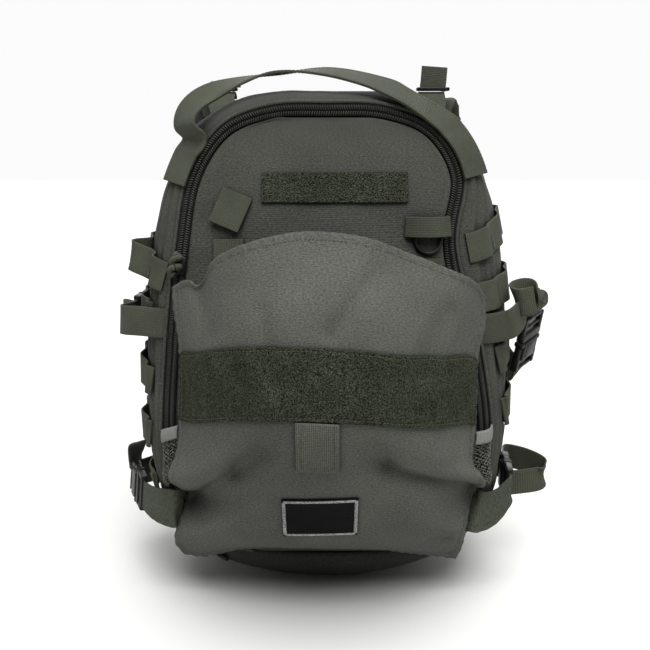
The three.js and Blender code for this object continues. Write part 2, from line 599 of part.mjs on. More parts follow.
// Compression straps: from the front seam to a fastened buckle, on to the back, with a free tail
const stop = (x, y, z, wide) => ({ at: vec(x, y, z), wide });
const alongSide = (sign, rows) =>
  rows.map((row) => sidePlace(sign, row.deep, row.z, row.off + webbing.thick / 2));
const upright = vec(0, 0, 1);
const level = vec(1, 0, 0);
const compression = [
  {
    name: "upper_left",
    sign: -1,
    buckle: { at: vec(-176, 14, 243), along: vec(0.03, 1, -0.05), wide: vec(0.12, 0, 1) },
    front: [
      { deep: 0.012, z: 250, off: 1 },
      { deep: 0.06, z: 250, off: 10 },
      { deep: 0.13, z: 248, off: 19 },
      { deep: 0.22, z: 246, off: 22 },
    ],
    intoPlug: [{ away: -11 }, { away: -6 }, { away: 0 }],
    outOfPlug: [{ away: -7.5 }],
    back: [
      { deep: 0.86, z: 236, off: 5.6 },
      { deep: 0.97, z: 234, off: 4.9 },
    ],
    tail: [
      stop(-187, -6, 244, upright),
      stop(-190, 14, 241, upright),
      stop(-186, 38, 234, upright),
    ],
  },
  {
    name: "upper_right",
    sign: 1,
    buckle: { at: vec(180.5, -36, 227.5), along: vec(-0.1, 0.3, -0.945), wide: vec(0.6, 0.8, 0) },
    front: [
      { deep: 0.012, z: 245, off: 1 },
      { deep: 0.05, z: 246, off: 8 },
      { deep: 0.09, z: 249, off: 14 },
    ],
    intoPlug: [{ away: -11, out: -4 }, { away: -6, out: -2 }, { away: 0 }],
    outOfPlug: [{ away: -1, out: 0.9 }, { away: -7, out: 5 }],
    back: [
      { deep: 0.72, z: 208, off: 6.6 },
      { deep: 0.86, z: 212, off: 6 },
      { deep: 0.97, z: 216, off: 5.5 },
    ],
    tail: [
      stop(183, -55, 266, vec(0.6, 0.5, -0.6)),
      stop(175, -54, 272, vec(0.42, 0.15, -0.9)),
      stop(165, -58, 271, vec(0.36, 0, -0.93)),
      stop(162, -65, 268, vec(0.36, 0, -0.93)),
      stop(167, -71, 266, vec(0.36, 0, -0.93)),
      stop(178, -72, 268, vec(0.36, 0, -0.93)),
    ],
  },
  {
    name: "lower_left",
    sign: -1,
    buckle: { at: vec(-176, -26, 82), along: vec(-0.33, 0.94, -0.04), wide: vec(0.1, 0, 1) },
    back: [
      { deep: 0.84, z: 78, off: 4 },
      { deep: 0.97, z: 76, off: 1 },
    ],
    tail: [
      stop(-188, 19, 85, vec(0.1, 0.3, 1)),
      stop(-187, 16, 95, vec(0.4, 0.7, 0.6)),
      stop(-184, 10, 108, vec(0.6, 0.8, 0.2)),
      stop(-180, 4, 115, vec(0.65, 0.75, 0)),
      stop(-174, -1, 118, vec(0.65, 0.75, 0)),
    ],
  },
  {
    name: "lower_right",
    sign: 1,
    buckle: { at: vec(165.5, -40, 95), along: vec(0.08, 1, -0.02), wide: vec(0.05, 0, 1) },
    back: [
      { deep: 0.84, z: 84, off: 4 },
      { deep: 0.97, z: 82, off: 0.5 },
    ],
    tail: [
      stop(176, 28, 92, upright),
      stop(190, 22, 92, upright),
      stop(203, 11, 90, upright),
      stop(209, 4, 86, upright),
      stop(204, -3, 80, upright),
      stop(171, -7, 77, upright),
    ],
  },
];
// Where a wing leaves the flap's edge, and the point beside the zip that it bends round to its buckle
const wing = {
  low: 0.12,
  high: 0.262,
  off: { out: 4.9, ahead: 1.5 },
  thick: 2,
  bend: { deep: 0.03, off: 14 },
  shares: [0.2, 0.4, 0.6, 0.8],
};
const straight = { strap: 5, tail: 4.4, wing: 11 }; // how far webbing runs straight out of a buckle
for (const strap of compression) {
  const made = addBuckle(`buckle_${strap.name}`, strap.buckle.at, strap.buckle.along, strap.buckle.wide);
  const strapBand = (route, width = webbing.width) => band(route, width, webbing.thick);
  const beside = (end, away, out = 0) => ({
    at: end.clone().addScaledVector(made.x, away).addScaledVector(made.z, out),
    wide: made.y,
  });
  const back = strapBand([
    beside(made.socketEnd, 0),
    beside(made.socketEnd, straight.strap),
    ...alongSide(strap.sign, strap.back),
  ]);
  if (strap.front) {
    const atPlug = (rows) => rows.map((row) => beside(made.plugEnd, row.away, row.out));
    const front = strapBand([...alongSide(strap.sign, strap.front), ...atPlug(strap.intoPlug)]);
    const tail = strapBand([...atPlug(strap.outOfPlug), ...strap.tail], webbing.tail);
    add(`front_strap_${strap.name}`, joined(front, tail), webCloth);
    add(`back_strap_${strap.name}`, back, webCloth);
  } else {
    const tail = strapBand([beside(made.socketEnd, straight.tail), ...strap.tail], webbing.tail);
    add(`back_strap_${strap.name}`, joined(back, tail), webCloth);
  }
  if (strap.name.startsWith("lower")) {
    const off = vec(strap.sign * wing.off.out, -wing.off.ahead, 0);
    const edge = (v) => flapPoint(strap.sign > 0 ? 1 : 0, v).add(off);
    const seam = edge(wing.low).lerp(edge(wing.high), 0.5);
    const rise = edge(wing.high).sub(edge(wing.low));
    const root = { at: seam, wide: rise.clone().normalize(), width: rise.length() };
    const ends = [beside(made.plugEnd, -straight.wing), beside(made.plugEnd, 0)];
    const bend = sidePlace(strap.sign, wing.bend.deep, seam.z, wing.bend.off).at;
    const curve = new THREE.QuadraticBezierCurve3(seam, bend, ends[0].at);
    const laid = wing.shares.map((share) => {
      const at = curve.getPoint(share);
      const width = mix(root.width, webbing.width, share);
      return { at, wide: root.wide.clone().lerp(made.y, Math.sqrt(share)), width };
    });
    const route = [root, ...laid, ...ends];
    const side = strap.sign > 0 ? "right" : "left";
    add(`flap_wing_${side}`, band(route, webbing.width, wing.thick), bagCloth);
  }
}

// Grab handle: laid on both front shoulders, free over the top, standing off the left shoulder
const handle = { width: 27, thick: 2, deep: 0.025, off: 2.1, across: [0.003, 0.048] };
const handleFoot = (sign, heights) =>
  heights.map((z) => {
    const place = sidePlace(sign, handle.deep, z, handle.off);
    const [front, behind] = handle.across.map((deep) => sidePlace(sign, deep, z).at);
    return { at: place.at, wide: behind.sub(front) };
  });
const handleRoute = [
  ...handleFoot(1, [372, 384, 396, 408, 418]),
  stop(64, -55, 439, vec(0.1, 0.85, 0.5)),
  stop(40, -44, 450, vec(0, 0.9, 0.42)),
  stop(0, -32, 459, vec(0, 0.96, 0.27)),
  stop(-42, -30, 458, vec(0, 1, 0.02)),
  stop(-72, -34, 452, vec(0, 1, -0.2)),
  stop(-98, -42, 442, vec(0.05, 1, -0.1)),
  stop(-114, -52, 430, vec(0.4, 0.9, 0.2)),
  stop(-119, -60, 415, vec(0.6, 0.75, 0.1)),
  ...handleFoot(-1, [402, 390, 378, 366]),
];
add("grab_handle", band(handleRoute, handle.width, handle.thick), webCloth);

// Base strap end under the left front corner
const baseStrap = { round: 0.905, deeps: [0.04, 0.08, 0.13, 0.18], off: vec(-0.4, -1.1, -1.3) };
const baseEnd = baseStrap.deeps.map((deep) => {
  const round = (k) => bagPoint(baseStrap.round + k * 0.01, deep);
  return { at: round(0).add(baseStrap.off), wide: round(1).sub(round(-1)) };
});
add("base_strap_end", band(baseEnd, webbing.width, webbing.thick), blackPlastic);

// Shoulder straps: centre line, width and thickness of the right one, anchor to foot
const shoulderRows = [
  { x: 82, y: 99.7, z: 386, width: 60, thick: 8 },
  { x: 90, y: 102, z: 410, width: 62, thick: 11 },
  { x: 99, y: 113, z: 431, width: 63, thick: 12 },
  { x: 106, y: 128, z: 432, width: 63, thick: 12 },
  { x: 112, y: 141, z: 412, width: 63, thick: 12 },
  { x: 117, y: 149, z: 372, width: 62, thick: 12 },
  { x: 121, y: 148, z: 312, width: 60, thick: 12 },
  { x: 122, y: 138, z: 248, width: 57, thick: 12 },
  { x: 121, y: 124, z: 188, width: 50, thick: 9 },
];
const shoulderFoot = {
  lockLength: 26,
  lockThick: 6,
  anchor: vec(118, bag.back + pad.thick + 3, 74),
  seat: vec(0, -2.2, -14),
  sewnLength: 16,
};
function padded(rows, sign) {
  const columns = 5;
  const skin = (lift) =>
    grid(columns, rows.length, (i, k) => {
      const row = rows[k];
      const spot = (index) => vec(sign * rows[index].x, rows[index].y, rows[index].z);
      const along = spot(Math.min(k + 1, rows.length - 1)).sub(spot(Math.max(k - 1, 0))).normalize();
      const wide = vec(1, 0, 0).addScaledVector(along, -along.x).normalize();
      const face = wide.clone().cross(along);
      const across = (2 * i) / (columns - 1) - 1;
      const half = (row.thick / 2) * (1 - 0.35 * across ** 4);
      const at = spot(k).addScaledVector(wide, (across * row.width) / 2);
      return at.addScaledVector(face, lift * half);
    });
  return wall(skin(1), skin(-1));
}
for (const { name, sign } of sides) {
  add(`shoulder_strap_${name}`, padded(shoulderRows, sign), dimCloth);
  const foot = shoulderRows[shoulderRows.length - 1];
  const end = vec(sign * foot.x, foot.y, foot.z);
  const anchor = shoulderFoot.anchor.clone().multiply(vec(sign, 1, 1));
  const down = anchor.clone().sub(end);
  const run = down.clone().normalize();
  const lockStart = end.clone().addScaledVector(run, gap + 0.2);
  const lockBody = new THREE.ExtrudeGeometry(buckleOutline(shoulderFoot.lockLength, 2), {
    depth: shoulderFoot.lockThick,
    bevelEnabled: false,
    curveSegments: 3,
  });
  lockBody.translate(0, 0, -shoulderFoot.lockThick / 2);
  const lock = add(`ladder_lock_${name}`, lockBody, blackPlastic);
  const lockWide = vec(1, 0, 0).addScaledVector(run, -run.x).normalize();
  const lockFace = run.clone().cross(lockWide);
  lock.quaternion.setFromRotationMatrix(new THREE.Matrix4().makeBasis(run, lockWide, lockFace));
  lock.position.copy(lockStart);
  const lockEnd = lockStart.clone().addScaledVector(run, shoulderFoot.lockLength + gap);
  const webRoute = [0, 0.5, 0.85].map((k) => ({ at: lockEnd.clone().lerp(anchor, k), wide: lockWide }));
  const seat = anchor.clone().add(shoulderFoot.seat);
  webRoute.push({ at: seat, wide: level });
  webRoute.push({ at: seat.clone().add(vec(0, 0, -shoulderFoot.sewnLength)), wide: level });
  add(`shoulder_webbing_${name}`, band(webRoute, webbing.width, webbing.thick), webCloth);
}

// Load lifters: a strap from the top of the back to the shoulder strap, a glide and a free tail
const lifter = { x: 103, sewnZ: 424, sewnOff: 1.6, glideX: 104.4, glideY: 97.3, glideZ: 446.6 };
const lifterTails = {
  left: [
    stop(-104, 97, 447.4, level),
    stop(-103.5, 97.6, 451.5, level),
    stop(-102.5, 103, 455, level),
    stop(-101, 113, 455.5, level),
    stop(-100, 124, 451, level),
  ],
  right: [stop(104, 97, 447.4, level), stop(105, 98, 456, level), stop(106, 99, 470, level)],
};
for (const { name, sign } of sides) {
  const route = [
    sidePlace(sign, 0.86, lifter.sewnZ, lifter.sewnOff),
    sidePlace(sign, 0.92, lifter.sewnZ, lifter.sewnOff),
    stop(sign * lifter.x, 82, 434, level),
    stop(sign * lifter.x, 90, 442, level),
    stop(sign * lifter.x, 100, 445.2, level),
    stop(sign * lifter.x, 112, 441.6, level),
    stop(sign * (lifter.x + 1), 122, 440.2, level),
  ];
  add(`load_lifter_${name}`, band(route, webbing.width, webbing.thick), webCloth);
  add(`lifter_tail_${name}`, band(lifterTails[name], webbing.width, webbing.thick), webCloth);
  const frame = new THREE.Shape();
  const half = { x: glide.width / 2, y: glide.deep / 2 };
  frame.moveTo(-half.x, -half.y);
  frame.lineTo(half.x, -half.y);
  frame.lineTo(half.x, half.y);
  frame.lineTo(-half.x, half.y);
  const slot = new THREE.Path();
  slot.moveTo(-glide.slot / 2, -glide.slotDeep / 2);
  slot.lineTo(-glide.slot / 2, glide.slotDeep / 2);
  slot.lineTo(glide.slot / 2, glide.slotDeep / 2);
  slot.lineTo(glide.slot / 2, -glide.slotDeep / 2);
  frame.holes.push(slot);
  const bar = new THREE.ExtrudeGeometry(frame, { depth: glide.thick, bevelEnabled: false });
  const mesh = add(`lifter_glide_${name}`, bar, blackPlastic);
  mesh.position.set(sign * lifter.glideX, lifter.glideY, lifter.glideZ);
}

export default pack;
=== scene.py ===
import functools
import math
import random

import bmesh
import bpy
from mathutils import Matrix, Vector, noise


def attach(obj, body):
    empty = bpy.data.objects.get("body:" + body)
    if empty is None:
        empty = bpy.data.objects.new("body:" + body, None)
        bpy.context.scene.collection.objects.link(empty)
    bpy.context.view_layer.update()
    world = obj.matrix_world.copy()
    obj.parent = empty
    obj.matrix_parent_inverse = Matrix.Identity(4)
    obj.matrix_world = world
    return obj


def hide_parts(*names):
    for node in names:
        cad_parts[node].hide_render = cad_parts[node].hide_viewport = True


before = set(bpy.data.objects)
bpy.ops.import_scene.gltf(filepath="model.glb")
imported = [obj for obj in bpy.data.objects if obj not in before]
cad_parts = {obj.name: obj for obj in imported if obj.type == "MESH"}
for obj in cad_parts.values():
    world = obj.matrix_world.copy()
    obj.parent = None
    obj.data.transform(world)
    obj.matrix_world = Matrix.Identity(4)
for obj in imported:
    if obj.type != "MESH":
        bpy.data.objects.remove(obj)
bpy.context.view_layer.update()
mm = 0.001  # sizes and places below are millimetres, meshes are metres
random.seed(29)

sides = {"left": -1, "right": 1}


def namedRows(names, *rows):  # a table whose columns have names
    return [dict(zip(names.split(), row)) for row in rows]


def mixed(a, b, k):
    return a + (b - a) * k


def easedStep(place, low, high):
    k = min(max((place - low) / (high - low), 0), 1)
    return k * k * (3 - 2 * k)


def hump(place, middle, wide):  # 1 at the middle, falling smoothly to both sides
    return math.exp(-(((place - middle) / wide) ** 2))


# shape of the bag, as in the solids

bag = {"front": -82, "back": 84, "topLean": 24, "leanFrom": 240, "leanTo": 440, "wall": 2.4,
       "shoulder": 2.3, "backPower": 2.5, "wideAt": 0.5}
gap = 0.4
zipper = {"width": 10.4, "proud": 2.2, "start": 0.125, "end": 0.875}
panel = {"crown": 16, "off": 1.2, "halfWidth": 128, "middle": 235, "halfHeight": 195, "wall": 2.2}
webbing = {"width": 25.4, "tail": 24.4, "thick": 1.6}

outlineRows = namedRows(  # half widths and heights of zip seam, widest line and back edge, base to top
    "seamLeft seamRight seamZ wide wideZ back backZ",
    (0, 0, 41, 0, -3, 0, -2),
    (60, 60, 44, 60, 5, 66, 1),
    (104, 102, 58, 106, 25, 110, 21),
    (132, 131, 92, 143, 59, 139, 56),
    (142, 142, 146, 161, 120, 151, 116),
    (137, 131, 226, 163, 226, 152, 226),
    (127, 108, 312, 156, 310, 146, 312),
    (116, 114, 372, 141, 370, 132, 370),
    (89, 90, 413, 115, 416, 108, 414),
    (48, 48, 430, 64, 441, 62, 438),
    (0, 0, 432, 0, 444, 0, 441),
)


def tableAt(rows, along, column, place):  # smooth curve through one column of a table
    last = len(rows) - 1
    i = 0
    while i < last - 1 and place > rows[i + 1][along]:
        i += 1

    def slope(k):
        a, b = rows[max(k - 1, 0)], rows[min(k + 1, last)]
        return (b[column] - a[column]) / (b[along] - a[along])

    span = rows[i + 1][along] - rows[i][along]
    k = min(max((place - rows[i][along]) / span, 0), 1)
    start = rows[i][column] * (1 + 2 * k) * (1 - k) ** 2 + slope(i) * span * k * (1 - k) ** 2
    end = rows[i + 1][column] * k * k * (3 - 2 * k) - slope(i + 1) * span * k * k * (1 - k)
    return start + end


def throughFour(a, b, c, d, k):  # from b to c on a smooth curve through four values
    slope = (c - a) * (k / 2)
    bend = (a * 2 - b * 5 + c * 4 - d) * (k * k / 2)
    return b + slope + bend + (b * 3 - a - c * 3 + d) * (k**3 / 2)


def outlineLoop(right, left, height):
    rising = [Vector((row[right], 0, row[height])) for row in outlineRows]
    falling = [Vector((-row[left], 0, row[height])) for row in outlineRows[-2:0:-1]]
    return rising + falling


seamLoop = outlineLoop("seamRight", "seamLeft", "seamZ")
wideLoop = outlineLoop("wide", "wide", "wideZ")
backLoop = outlineLoop("back", "back", "backZ")


def loopPoint(loop, around):
    place = around * len(loop)
    i = math.floor(place)
    return throughFour(*(loop[(i + k) % len(loop)] for k in (-1, 0, 1, 2)), place - i)


def loopAhead(loop, around):
    return (loopPoint(loop, around + 0.0005) - loopPoint(loop, around - 0.0005)).normalized()


def loopOut(loop, around):
    ahead = loopAhead(loop, around)
    return Vector((ahead.z, 0, -ahead.x))


def frontAt(z):
    return bag["front"] + bag["topLean"] * easedStep(z, bag["leanFrom"], bag["leanTo"])


def bagPoint(around, deep):  # around the outline from the base, deep from zip to back
    ahead = min(deep / bag["wideAt"], 1)
    behind = max((deep - bag["wideAt"]) / (1 - bag["wideAt"]), 0)
    swell = (1 - (1 - ahead) ** bag["shoulder"]) ** (1 / bag["shoulder"])
    wide = loopPoint(wideLoop, around)
    if behind > 0:
        point = wide.lerp(loopPoint(backLoop, around), behind ** bag["backPower"])
    else:
        point = loopPoint(seamLoop, around).lerp(wide, swell)
    point.z = max(point.z, 0)
    point.y = mixed(frontAt(point.z), bag["back"], deep)
    return point


def sidePlace(sign, deep, height, off=0):  # on the bag's side at a height, with its upward direction
    low, high = 0.06, 0.48
    for _ in range(24):
        middle = (low + high) / 2
        if bagPoint(middle if sign > 0 else 1 - middle, deep).z < height:
            low = middle
        else:
            high = middle
    around = low if sign > 0 else 1 - low
    reach = 0.01
    along = bagPoint(around, min(deep + reach, 1)) - bagPoint(around, max(deep - reach, 0))
    up = bagPoint(around + reach * sign, deep) - bagPoint(around - reach * sign, deep)
    out = along.cross(up).normalized() * sign
    return {"at": bagPoint(around, deep) + out * off, "wide": up.normalized()}


def panelFace(x, z):
    across = max(1 - (x / panel["halfWidth"]) ** 2, 0)
    up = max(1 - ((z - panel["middle"]) / panel["halfHeight"]) ** 4, 0)
    return frontAt(z) - panel["off"] - panel["crown"] * across * up


def seamInset(around, distance):
    return loopPoint(seamLoop, around) - loopOut(seamLoop, around) * distance


print("bag shape ready")


# materials

rgba = {"data_type": "RGBA"}
product = {"operation": "MULTIPLY"}
productSum = {"operation": "MULTIPLY_ADD"}


def linearColour(code):
    channels = [int(code[i : i + 2], 16) / 255 for i in (1, 3, 5)]
    return [c / 12.92 if c <= 0.04045 else ((c + 0.055) / 1.055) ** 2.4 for c in channels] + [1]


def tonesOf(look):
    return {6: linearColour(look["dark"]), 7: linearColour(look["light"])}


def addNode(tree, kind, settings=None, inputs=None):
    node = tree.nodes.new("ShaderNode" + kind)
    for name, value in (settings or {}).items():
        setattr(node, name, value)
    for name, value in (inputs or {}).items():
        if isinstance(value, bpy.types.NodeSocket):
            tree.links.new(value, node.inputs[name])
        else:
            node.inputs[name].default_value = value
    return node


def blankMaterial(name):
    material = bpy.data.materials.new(name)
    material.use_nodes = True
    material.node_tree.nodes.clear()
    return material, material.node_tree


def finishMaterial(tree, inputs):
    shader = addNode(tree, "BsdfPrincipled", inputs=inputs)
    addNode(tree, "OutputMaterial", inputs={"Surface": shader.outputs["BSDF"]})


def finishCloth(tree, thread, shade, height, look):  # thread colour, darkened by its worn places and by any painted shade, and its bumps
    colour = addNode(tree, "Mix", {**rgba, "blend_type": "MULTIPLY"},
                     {0: 1.0, 6: thread.outputs[2], 7: shade.outputs[0]})
    bump = addNode(tree, "Bump", inputs={"Strength": look["bump"], "Distance": look["relief"] * mm,
                                         "Height": height.outputs[0]})
    finishMaterial(tree, {"Base Color": colour.outputs[2], "Roughness": look["rough"],
                          "Specular IOR Level": look["shine"], "Normal": bump.outputs[0]})


def bandScale(spacing):  # a Wave texture repeats every 2 pi / 20 of its scale
    return 2 * math.pi / 20 / (spacing * mm)


# coated plain-weave nylon: a dull cloth, flecked because its threads take the dye unevenly, with painted
# shade in its folds and hollows
def wovenNylon(look):
    material, tree = blankMaterial(look["name"])
    place = addNode(tree, "TexCoord").outputs
    bands = {"Vector": place["UV"], "Scale": bandScale(look["thread"]),
             "Distortion": 1.2, "Detail": 1.0, "Detail Scale": 2.0}
    weft = addNode(tree, "TexWave", {"bands_direction": "Y"}, bands)
    warp = addNode(tree, "TexWave", {"bands_direction": "X"}, bands)
    weave = addNode(tree, "Math", product, {0: weft.outputs["Fac"], 1: warp.outputs["Fac"]})
    long = addNode(tree, "Mapping", inputs={"Vector": place["UV"], "Scale": (0.45, 1.0, 1.0)})
    fleck = addNode(tree, "TexNoise", inputs={"Vector": long.outputs[0], "Scale": 0.75 / (look["fleck"] * mm),
                                              "Detail": 3.0, "Roughness": 0.65})
    spread = addNode(tree, "MapRange", inputs={0: fleck.outputs["Fac"], 1: 0.33, 2: 0.67, 3: 0.0, 4: 0.85})
    share = addNode(tree, "Math", productSum, {0: weave.outputs[0], 1: 0.2, 2: spread.outputs[0]})
    thread = addNode(tree, "Mix", rgba, {0: share.outputs[0], **tonesOf(look)})
    patchy = addNode(tree, "TexNoise", inputs={"Vector": place["Object"], "Scale": 14.0, "Detail": 4.0})
    worn = addNode(tree, "MapRange", inputs={0: patchy.outputs["Fac"], 1: 0.35, 2: 0.7, 3: 0.82, 4: 1.08})
    occlusion = addNode(tree, "AmbientOcclusion", {"samples": 6}, {"Distance": 0.04})  # painted shade: darker where folds and nearby parts keep light out
    # painted shade: the occlusion darkens the cloth colour down to 0.4 in hollows and creases
    paintedCreaseShade = addNode(tree, "MapRange", inputs={0: occlusion.outputs["AO"], 1: 0.35, 2: 0.95, 3: 0.4, 4: 1.0})
    shade = addNode(tree, "Math", product, {0: worn.outputs[0], 1: paintedCreaseShade.outputs[0]})
    height = addNode(tree, "Math", productSum, {0: fleck.outputs["Fac"], 1: 0.6, 2: weave.outputs[0]})
    finishCloth(tree, thread, shade, height, {**look, "shine": 0.2, "relief": 0.6})
    return material


# woven nylon tape: ribs run along it and the picks cross them, duller in the hollows
def wovenTape(look):
    material, tree = blankMaterial(look["name"])
    place = addNode(tree, "TexCoord").outputs
    bands = {"Vector": place["UV"], "Detail": 1.0}
    ribs = addNode(tree, "TexWave", {"bands_direction": "X"},
                   {**bands, "Scale": bandScale(look["rib"]), "Distortion": 0.6})
    picks = addNode(tree, "TexWave", {"bands_direction": "Y"},
                    {**bands, "Scale": bandScale(look["pick"]), "Distortion": 0.8})
    weave = addNode(tree, "Math", product, {0: ribs.outputs["Fac"], 1: picks.outputs["Fac"]})
    speckle = addNode(tree, "TexNoise", inputs={"Vector": place["Object"], "Scale": 700.0, "Detail": 2.0})
    share = addNode(tree, "Math", product, {0: weave.outputs[0], 1: 0.55})
    speckled = addNode(tree, "Math", productSum, {0: speckle.outputs["Fac"], 1: 0.5, 2: share.outputs[0]})
    thread = addNode(tree, "Mix", rgba, {0: speckled.outputs[0], **tonesOf(look)})
    patchy = addNode(tree, "TexNoise", inputs={"Vector": place["Object"], "Scale": 30.0, "Detail": 3.0})
    worn = addNode(tree, "MapRange", inputs={0: patchy.outputs["Fac"], 1: 0.3, 2: 0.7, 3: 0.82, 4: 1.1})
    finishCloth(tree, thread, worn, weave, {**look, "bump": 0.6, "relief": 0.6})
    return material


# loop side of a touch fastener: a mat of fine hooped threads, dark between them
def loopPile(look):
    material, tree = blankMaterial(look["name"])
    place = addNode(tree, "TexCoord").outputs["Object"]
    fine = 1 / (look["tuft"] * mm)
    tufts = addNode(tree, "TexVoronoi", inputs={"Vector": place, "Scale": fine})
    hair = addNode(tree, "TexNoise", inputs={"Vector": place, "Scale": fine, "Detail": 4.0, "Roughness": 0.7})
    spread = addNode(tree, "MapRange", inputs={0: hair.outputs["Fac"], 1: 0.38, 2: 0.66, 3: 0.0, 4: 1.0})
    thread = addNode(tree, "Mix", rgba, {0: spread.outputs[0], **tonesOf(look)})
    patchy = addNode(tree, "TexNoise", inputs={"Vector": place, "Scale": 55.0, "Detail": 3.0})
    worn = addNode(tree, "MapRange", inputs={0: patchy.outputs["Fac"], 1: 0.3, 2: 0.7, 3: 0.8, 4: 1.12})
    height = addNode(tree, "Math", {"operation": "SUBTRACT"},
                     {0: hair.outputs["Fac"], 1: tufts.outputs["Distance"]})
    finishCloth(tree, thread, worn, height, {"rough": 0.95, "shine": 0.05, "bump": 0.9, "relief": 1.2})
    return material


# moulded acetal: satin black with a fine spark-eroded grain
def mouldedAcetal(look):
    material, tree = blankMaterial(look["name"])
    place = addNode(tree, "TexCoord").outputs["Object"]
    fine = 1 / (look["grain"] * mm)
    grain = addNode(tree, "TexNoise", inputs={"Vector": place, "Scale": fine, "Detail": 2.0})
    scuff = addNode(tree, "TexNoise", inputs={"Vector": place, "Scale": 90.0, "Detail": 5.0})
    colour = addNode(tree, "Mix", rgba, {0: scuff.outputs["Fac"], **tonesOf(look)})
    rough = addNode(tree, "MapRange", inputs={0: scuff.outputs["Fac"], 1: 0.3, 2: 0.7,
                                              3: look["rough"] - 0.06, 4: look["rough"] + 0.1})
    bump = addNode(tree, "Bump", inputs={"Strength": 0.25, "Distance": 0.0002,
                                         "Height": grain.outputs["Fac"]})
    finishMaterial(tree, {"Base Color": colour.outputs[2], "Roughness": rough.outputs[0], "IOR": 1.48,
                          "Specular IOR Level": 0.22, "Normal": bump.outputs[0]})
    return material


# sewing thread, twisted nylon: a thin slightly shiny line
def sewingThread(look):
    material, tree = blankMaterial(look["name"])
    place = addNode(tree, "TexCoord").outputs["Object"]
    twist = addNode(tree, "TexNoise", inputs={"Vector": place, "Scale": 900.0})
    strands = addNode(tree, "MapRange", inputs={0: twist.outputs["Fac"], 1: 0.42, 2: 0.6})
    colour = addNode(tree, "Mix", rgba, {0: strands.outputs[0], **tonesOf(look)})
    finishMaterial(tree, {"Base Color": colour.outputs[2], "Roughness": 0.6, "Specular IOR Level": 0.2})
    return material


# thread spacing is about 0.6 mm on the real cloth and tape: drawn coarser so that it shows
clothMain, clothInPaintedShade, clothBaseInPaintedShade, clothWing, clothPad = map(wovenNylon, namedRows(
    "name thread fleck bump rough dark light",
    ("coated woven nylon", 1.3, 0.9, 0.45, 0.82, "#373833", "#5f605a"),
    # painted shade: the bag's own cloth drawn darker than the flap's cloth, as it lies in shade
    ("woven nylon of the bag", 1.3, 0.9, 0.45, 0.85, "#2c2d28", "#4f504a"),
    # painted shade: the base under the flap drawn nearly black
    ("dark base cloth", 1.4, 1.2, 0.4, 0.85, "#1d1d1b", "#343431"),
    ("olive wing cloth", 1.3, 0.9, 0.45, 0.85, "#2c2f27", "#4c5043"),
    ("woven nylon over foam", 1.8, 1.6, 0.6, 0.88, "#2d2e29", "#44453e"),
))
tapeOlive, tapeHeather, tapeBlack, tapePale, patchTwill = map(wovenTape, namedRows(
    "name rib pick rough shine dark light",
    ("woven nylon webbing", 1.4, 1.2, 0.75, 0.2, "#2f3128", "#525548"),
    ("heathered nylon webbing", 1.5, 1.3, 0.8, 0.1, "#1c1d19", "#74756c"),
    ("black nylon webbing", 1.4, 1.2, 0.7, 0.15, "#101010", "#262624"),
    ("pale binding tape", 1.6, 1.6, 0.75, 0.2, "#5f605c", "#92938e"),
    ("black patch twill", 1.5, 1.5, 0.8, 0.05, "#0a0b0b", "#191a1a"),
))
acetal, coilNylon = map(mouldedAcetal, namedRows(
    "name grain rough dark light",
    ("moulded acetal", 0.5, 0.42, "#0b0b0b", "#191919"),
    ("nylon zip coil", 0.4, 0.4, "#1b1c18", "#3e3f38"),
))
netThread, threadOlive, threadGrey = map(sewingThread, namedRows(
    "name dark light",
    ("knitted net thread", "#0b0b0a", "#77786f"),
    ("olive sewing thread", "#3a3b33", "#5c5d52"),
    ("grey border thread", "#6c6d6a", "#a9aaa6"),
))
# real loops stand about 0.7 mm apart
loopGreen = loopPile({"name": "loop pile", "tuft": 1.2, "dark": "#080906", "light": "#4f5344"})
print("materials ready")


# makers

def newPiece(name, mesh, material, nodes=()):
    data = bpy.data.meshes.new(name)
    mesh.to_mesh(data)
    mesh.free()
    data.materials.append(material)
    data.shade_smooth()
    piece = bpy.data.objects.new(name, data)
    bpy.context.collection.objects.link(piece)
    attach(piece, "root")
    if nodes:
        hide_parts(*nodes)
    return piece


def laidGrid(columns, rows, place, size, relief=None, closed=False):  # a flat grid laid on a surface
    sheet = bmesh.new()
    bmesh.ops.create_grid(sheet, x_segments=columns, y_segments=rows, size=0.5, calc_uvs=True)
    uvs = sheet.loops.layers.uv.verify()
    flat = {vert: (vert.co.x + 0.5, vert.co.y + 0.5) for vert in sheet.verts}
    for face in sheet.faces:
        for corner in face.loops:
            u, v = flat[corner.vert]
            corner[uvs].uv = (u * size[0] * mm, v * size[1] * mm)
    for vert, (u, v) in flat.items():
        vert.co = place(u, v) * mm
    sheet.normal_update()
    if relief:
        moves = {vert: vert.normal * (relief(u, v) * mm) for vert, (u, v) in flat.items()}
        for vert, move in moves.items():
            vert.co += move
    if closed:
        bmesh.ops.remove_doubles(sheet, verts=sheet.verts, dist=0.00002)
    return sheet


def closeEnds(sheet):
    ends = [edge for edge in sheet.edges if edge.is_boundary]
    bmesh.ops.holes_fill(sheet, edges=ends, sides=0)
    bmesh.ops.recalc_face_normals(sheet, faces=sheet.faces)


def addWall(piece, thick, offset=-1):
    wall = piece.modifiers.new("wall", "SOLIDIFY")
    wall.thickness = thick * mm
    wall.offset = offset
    wall.use_even_offset = False


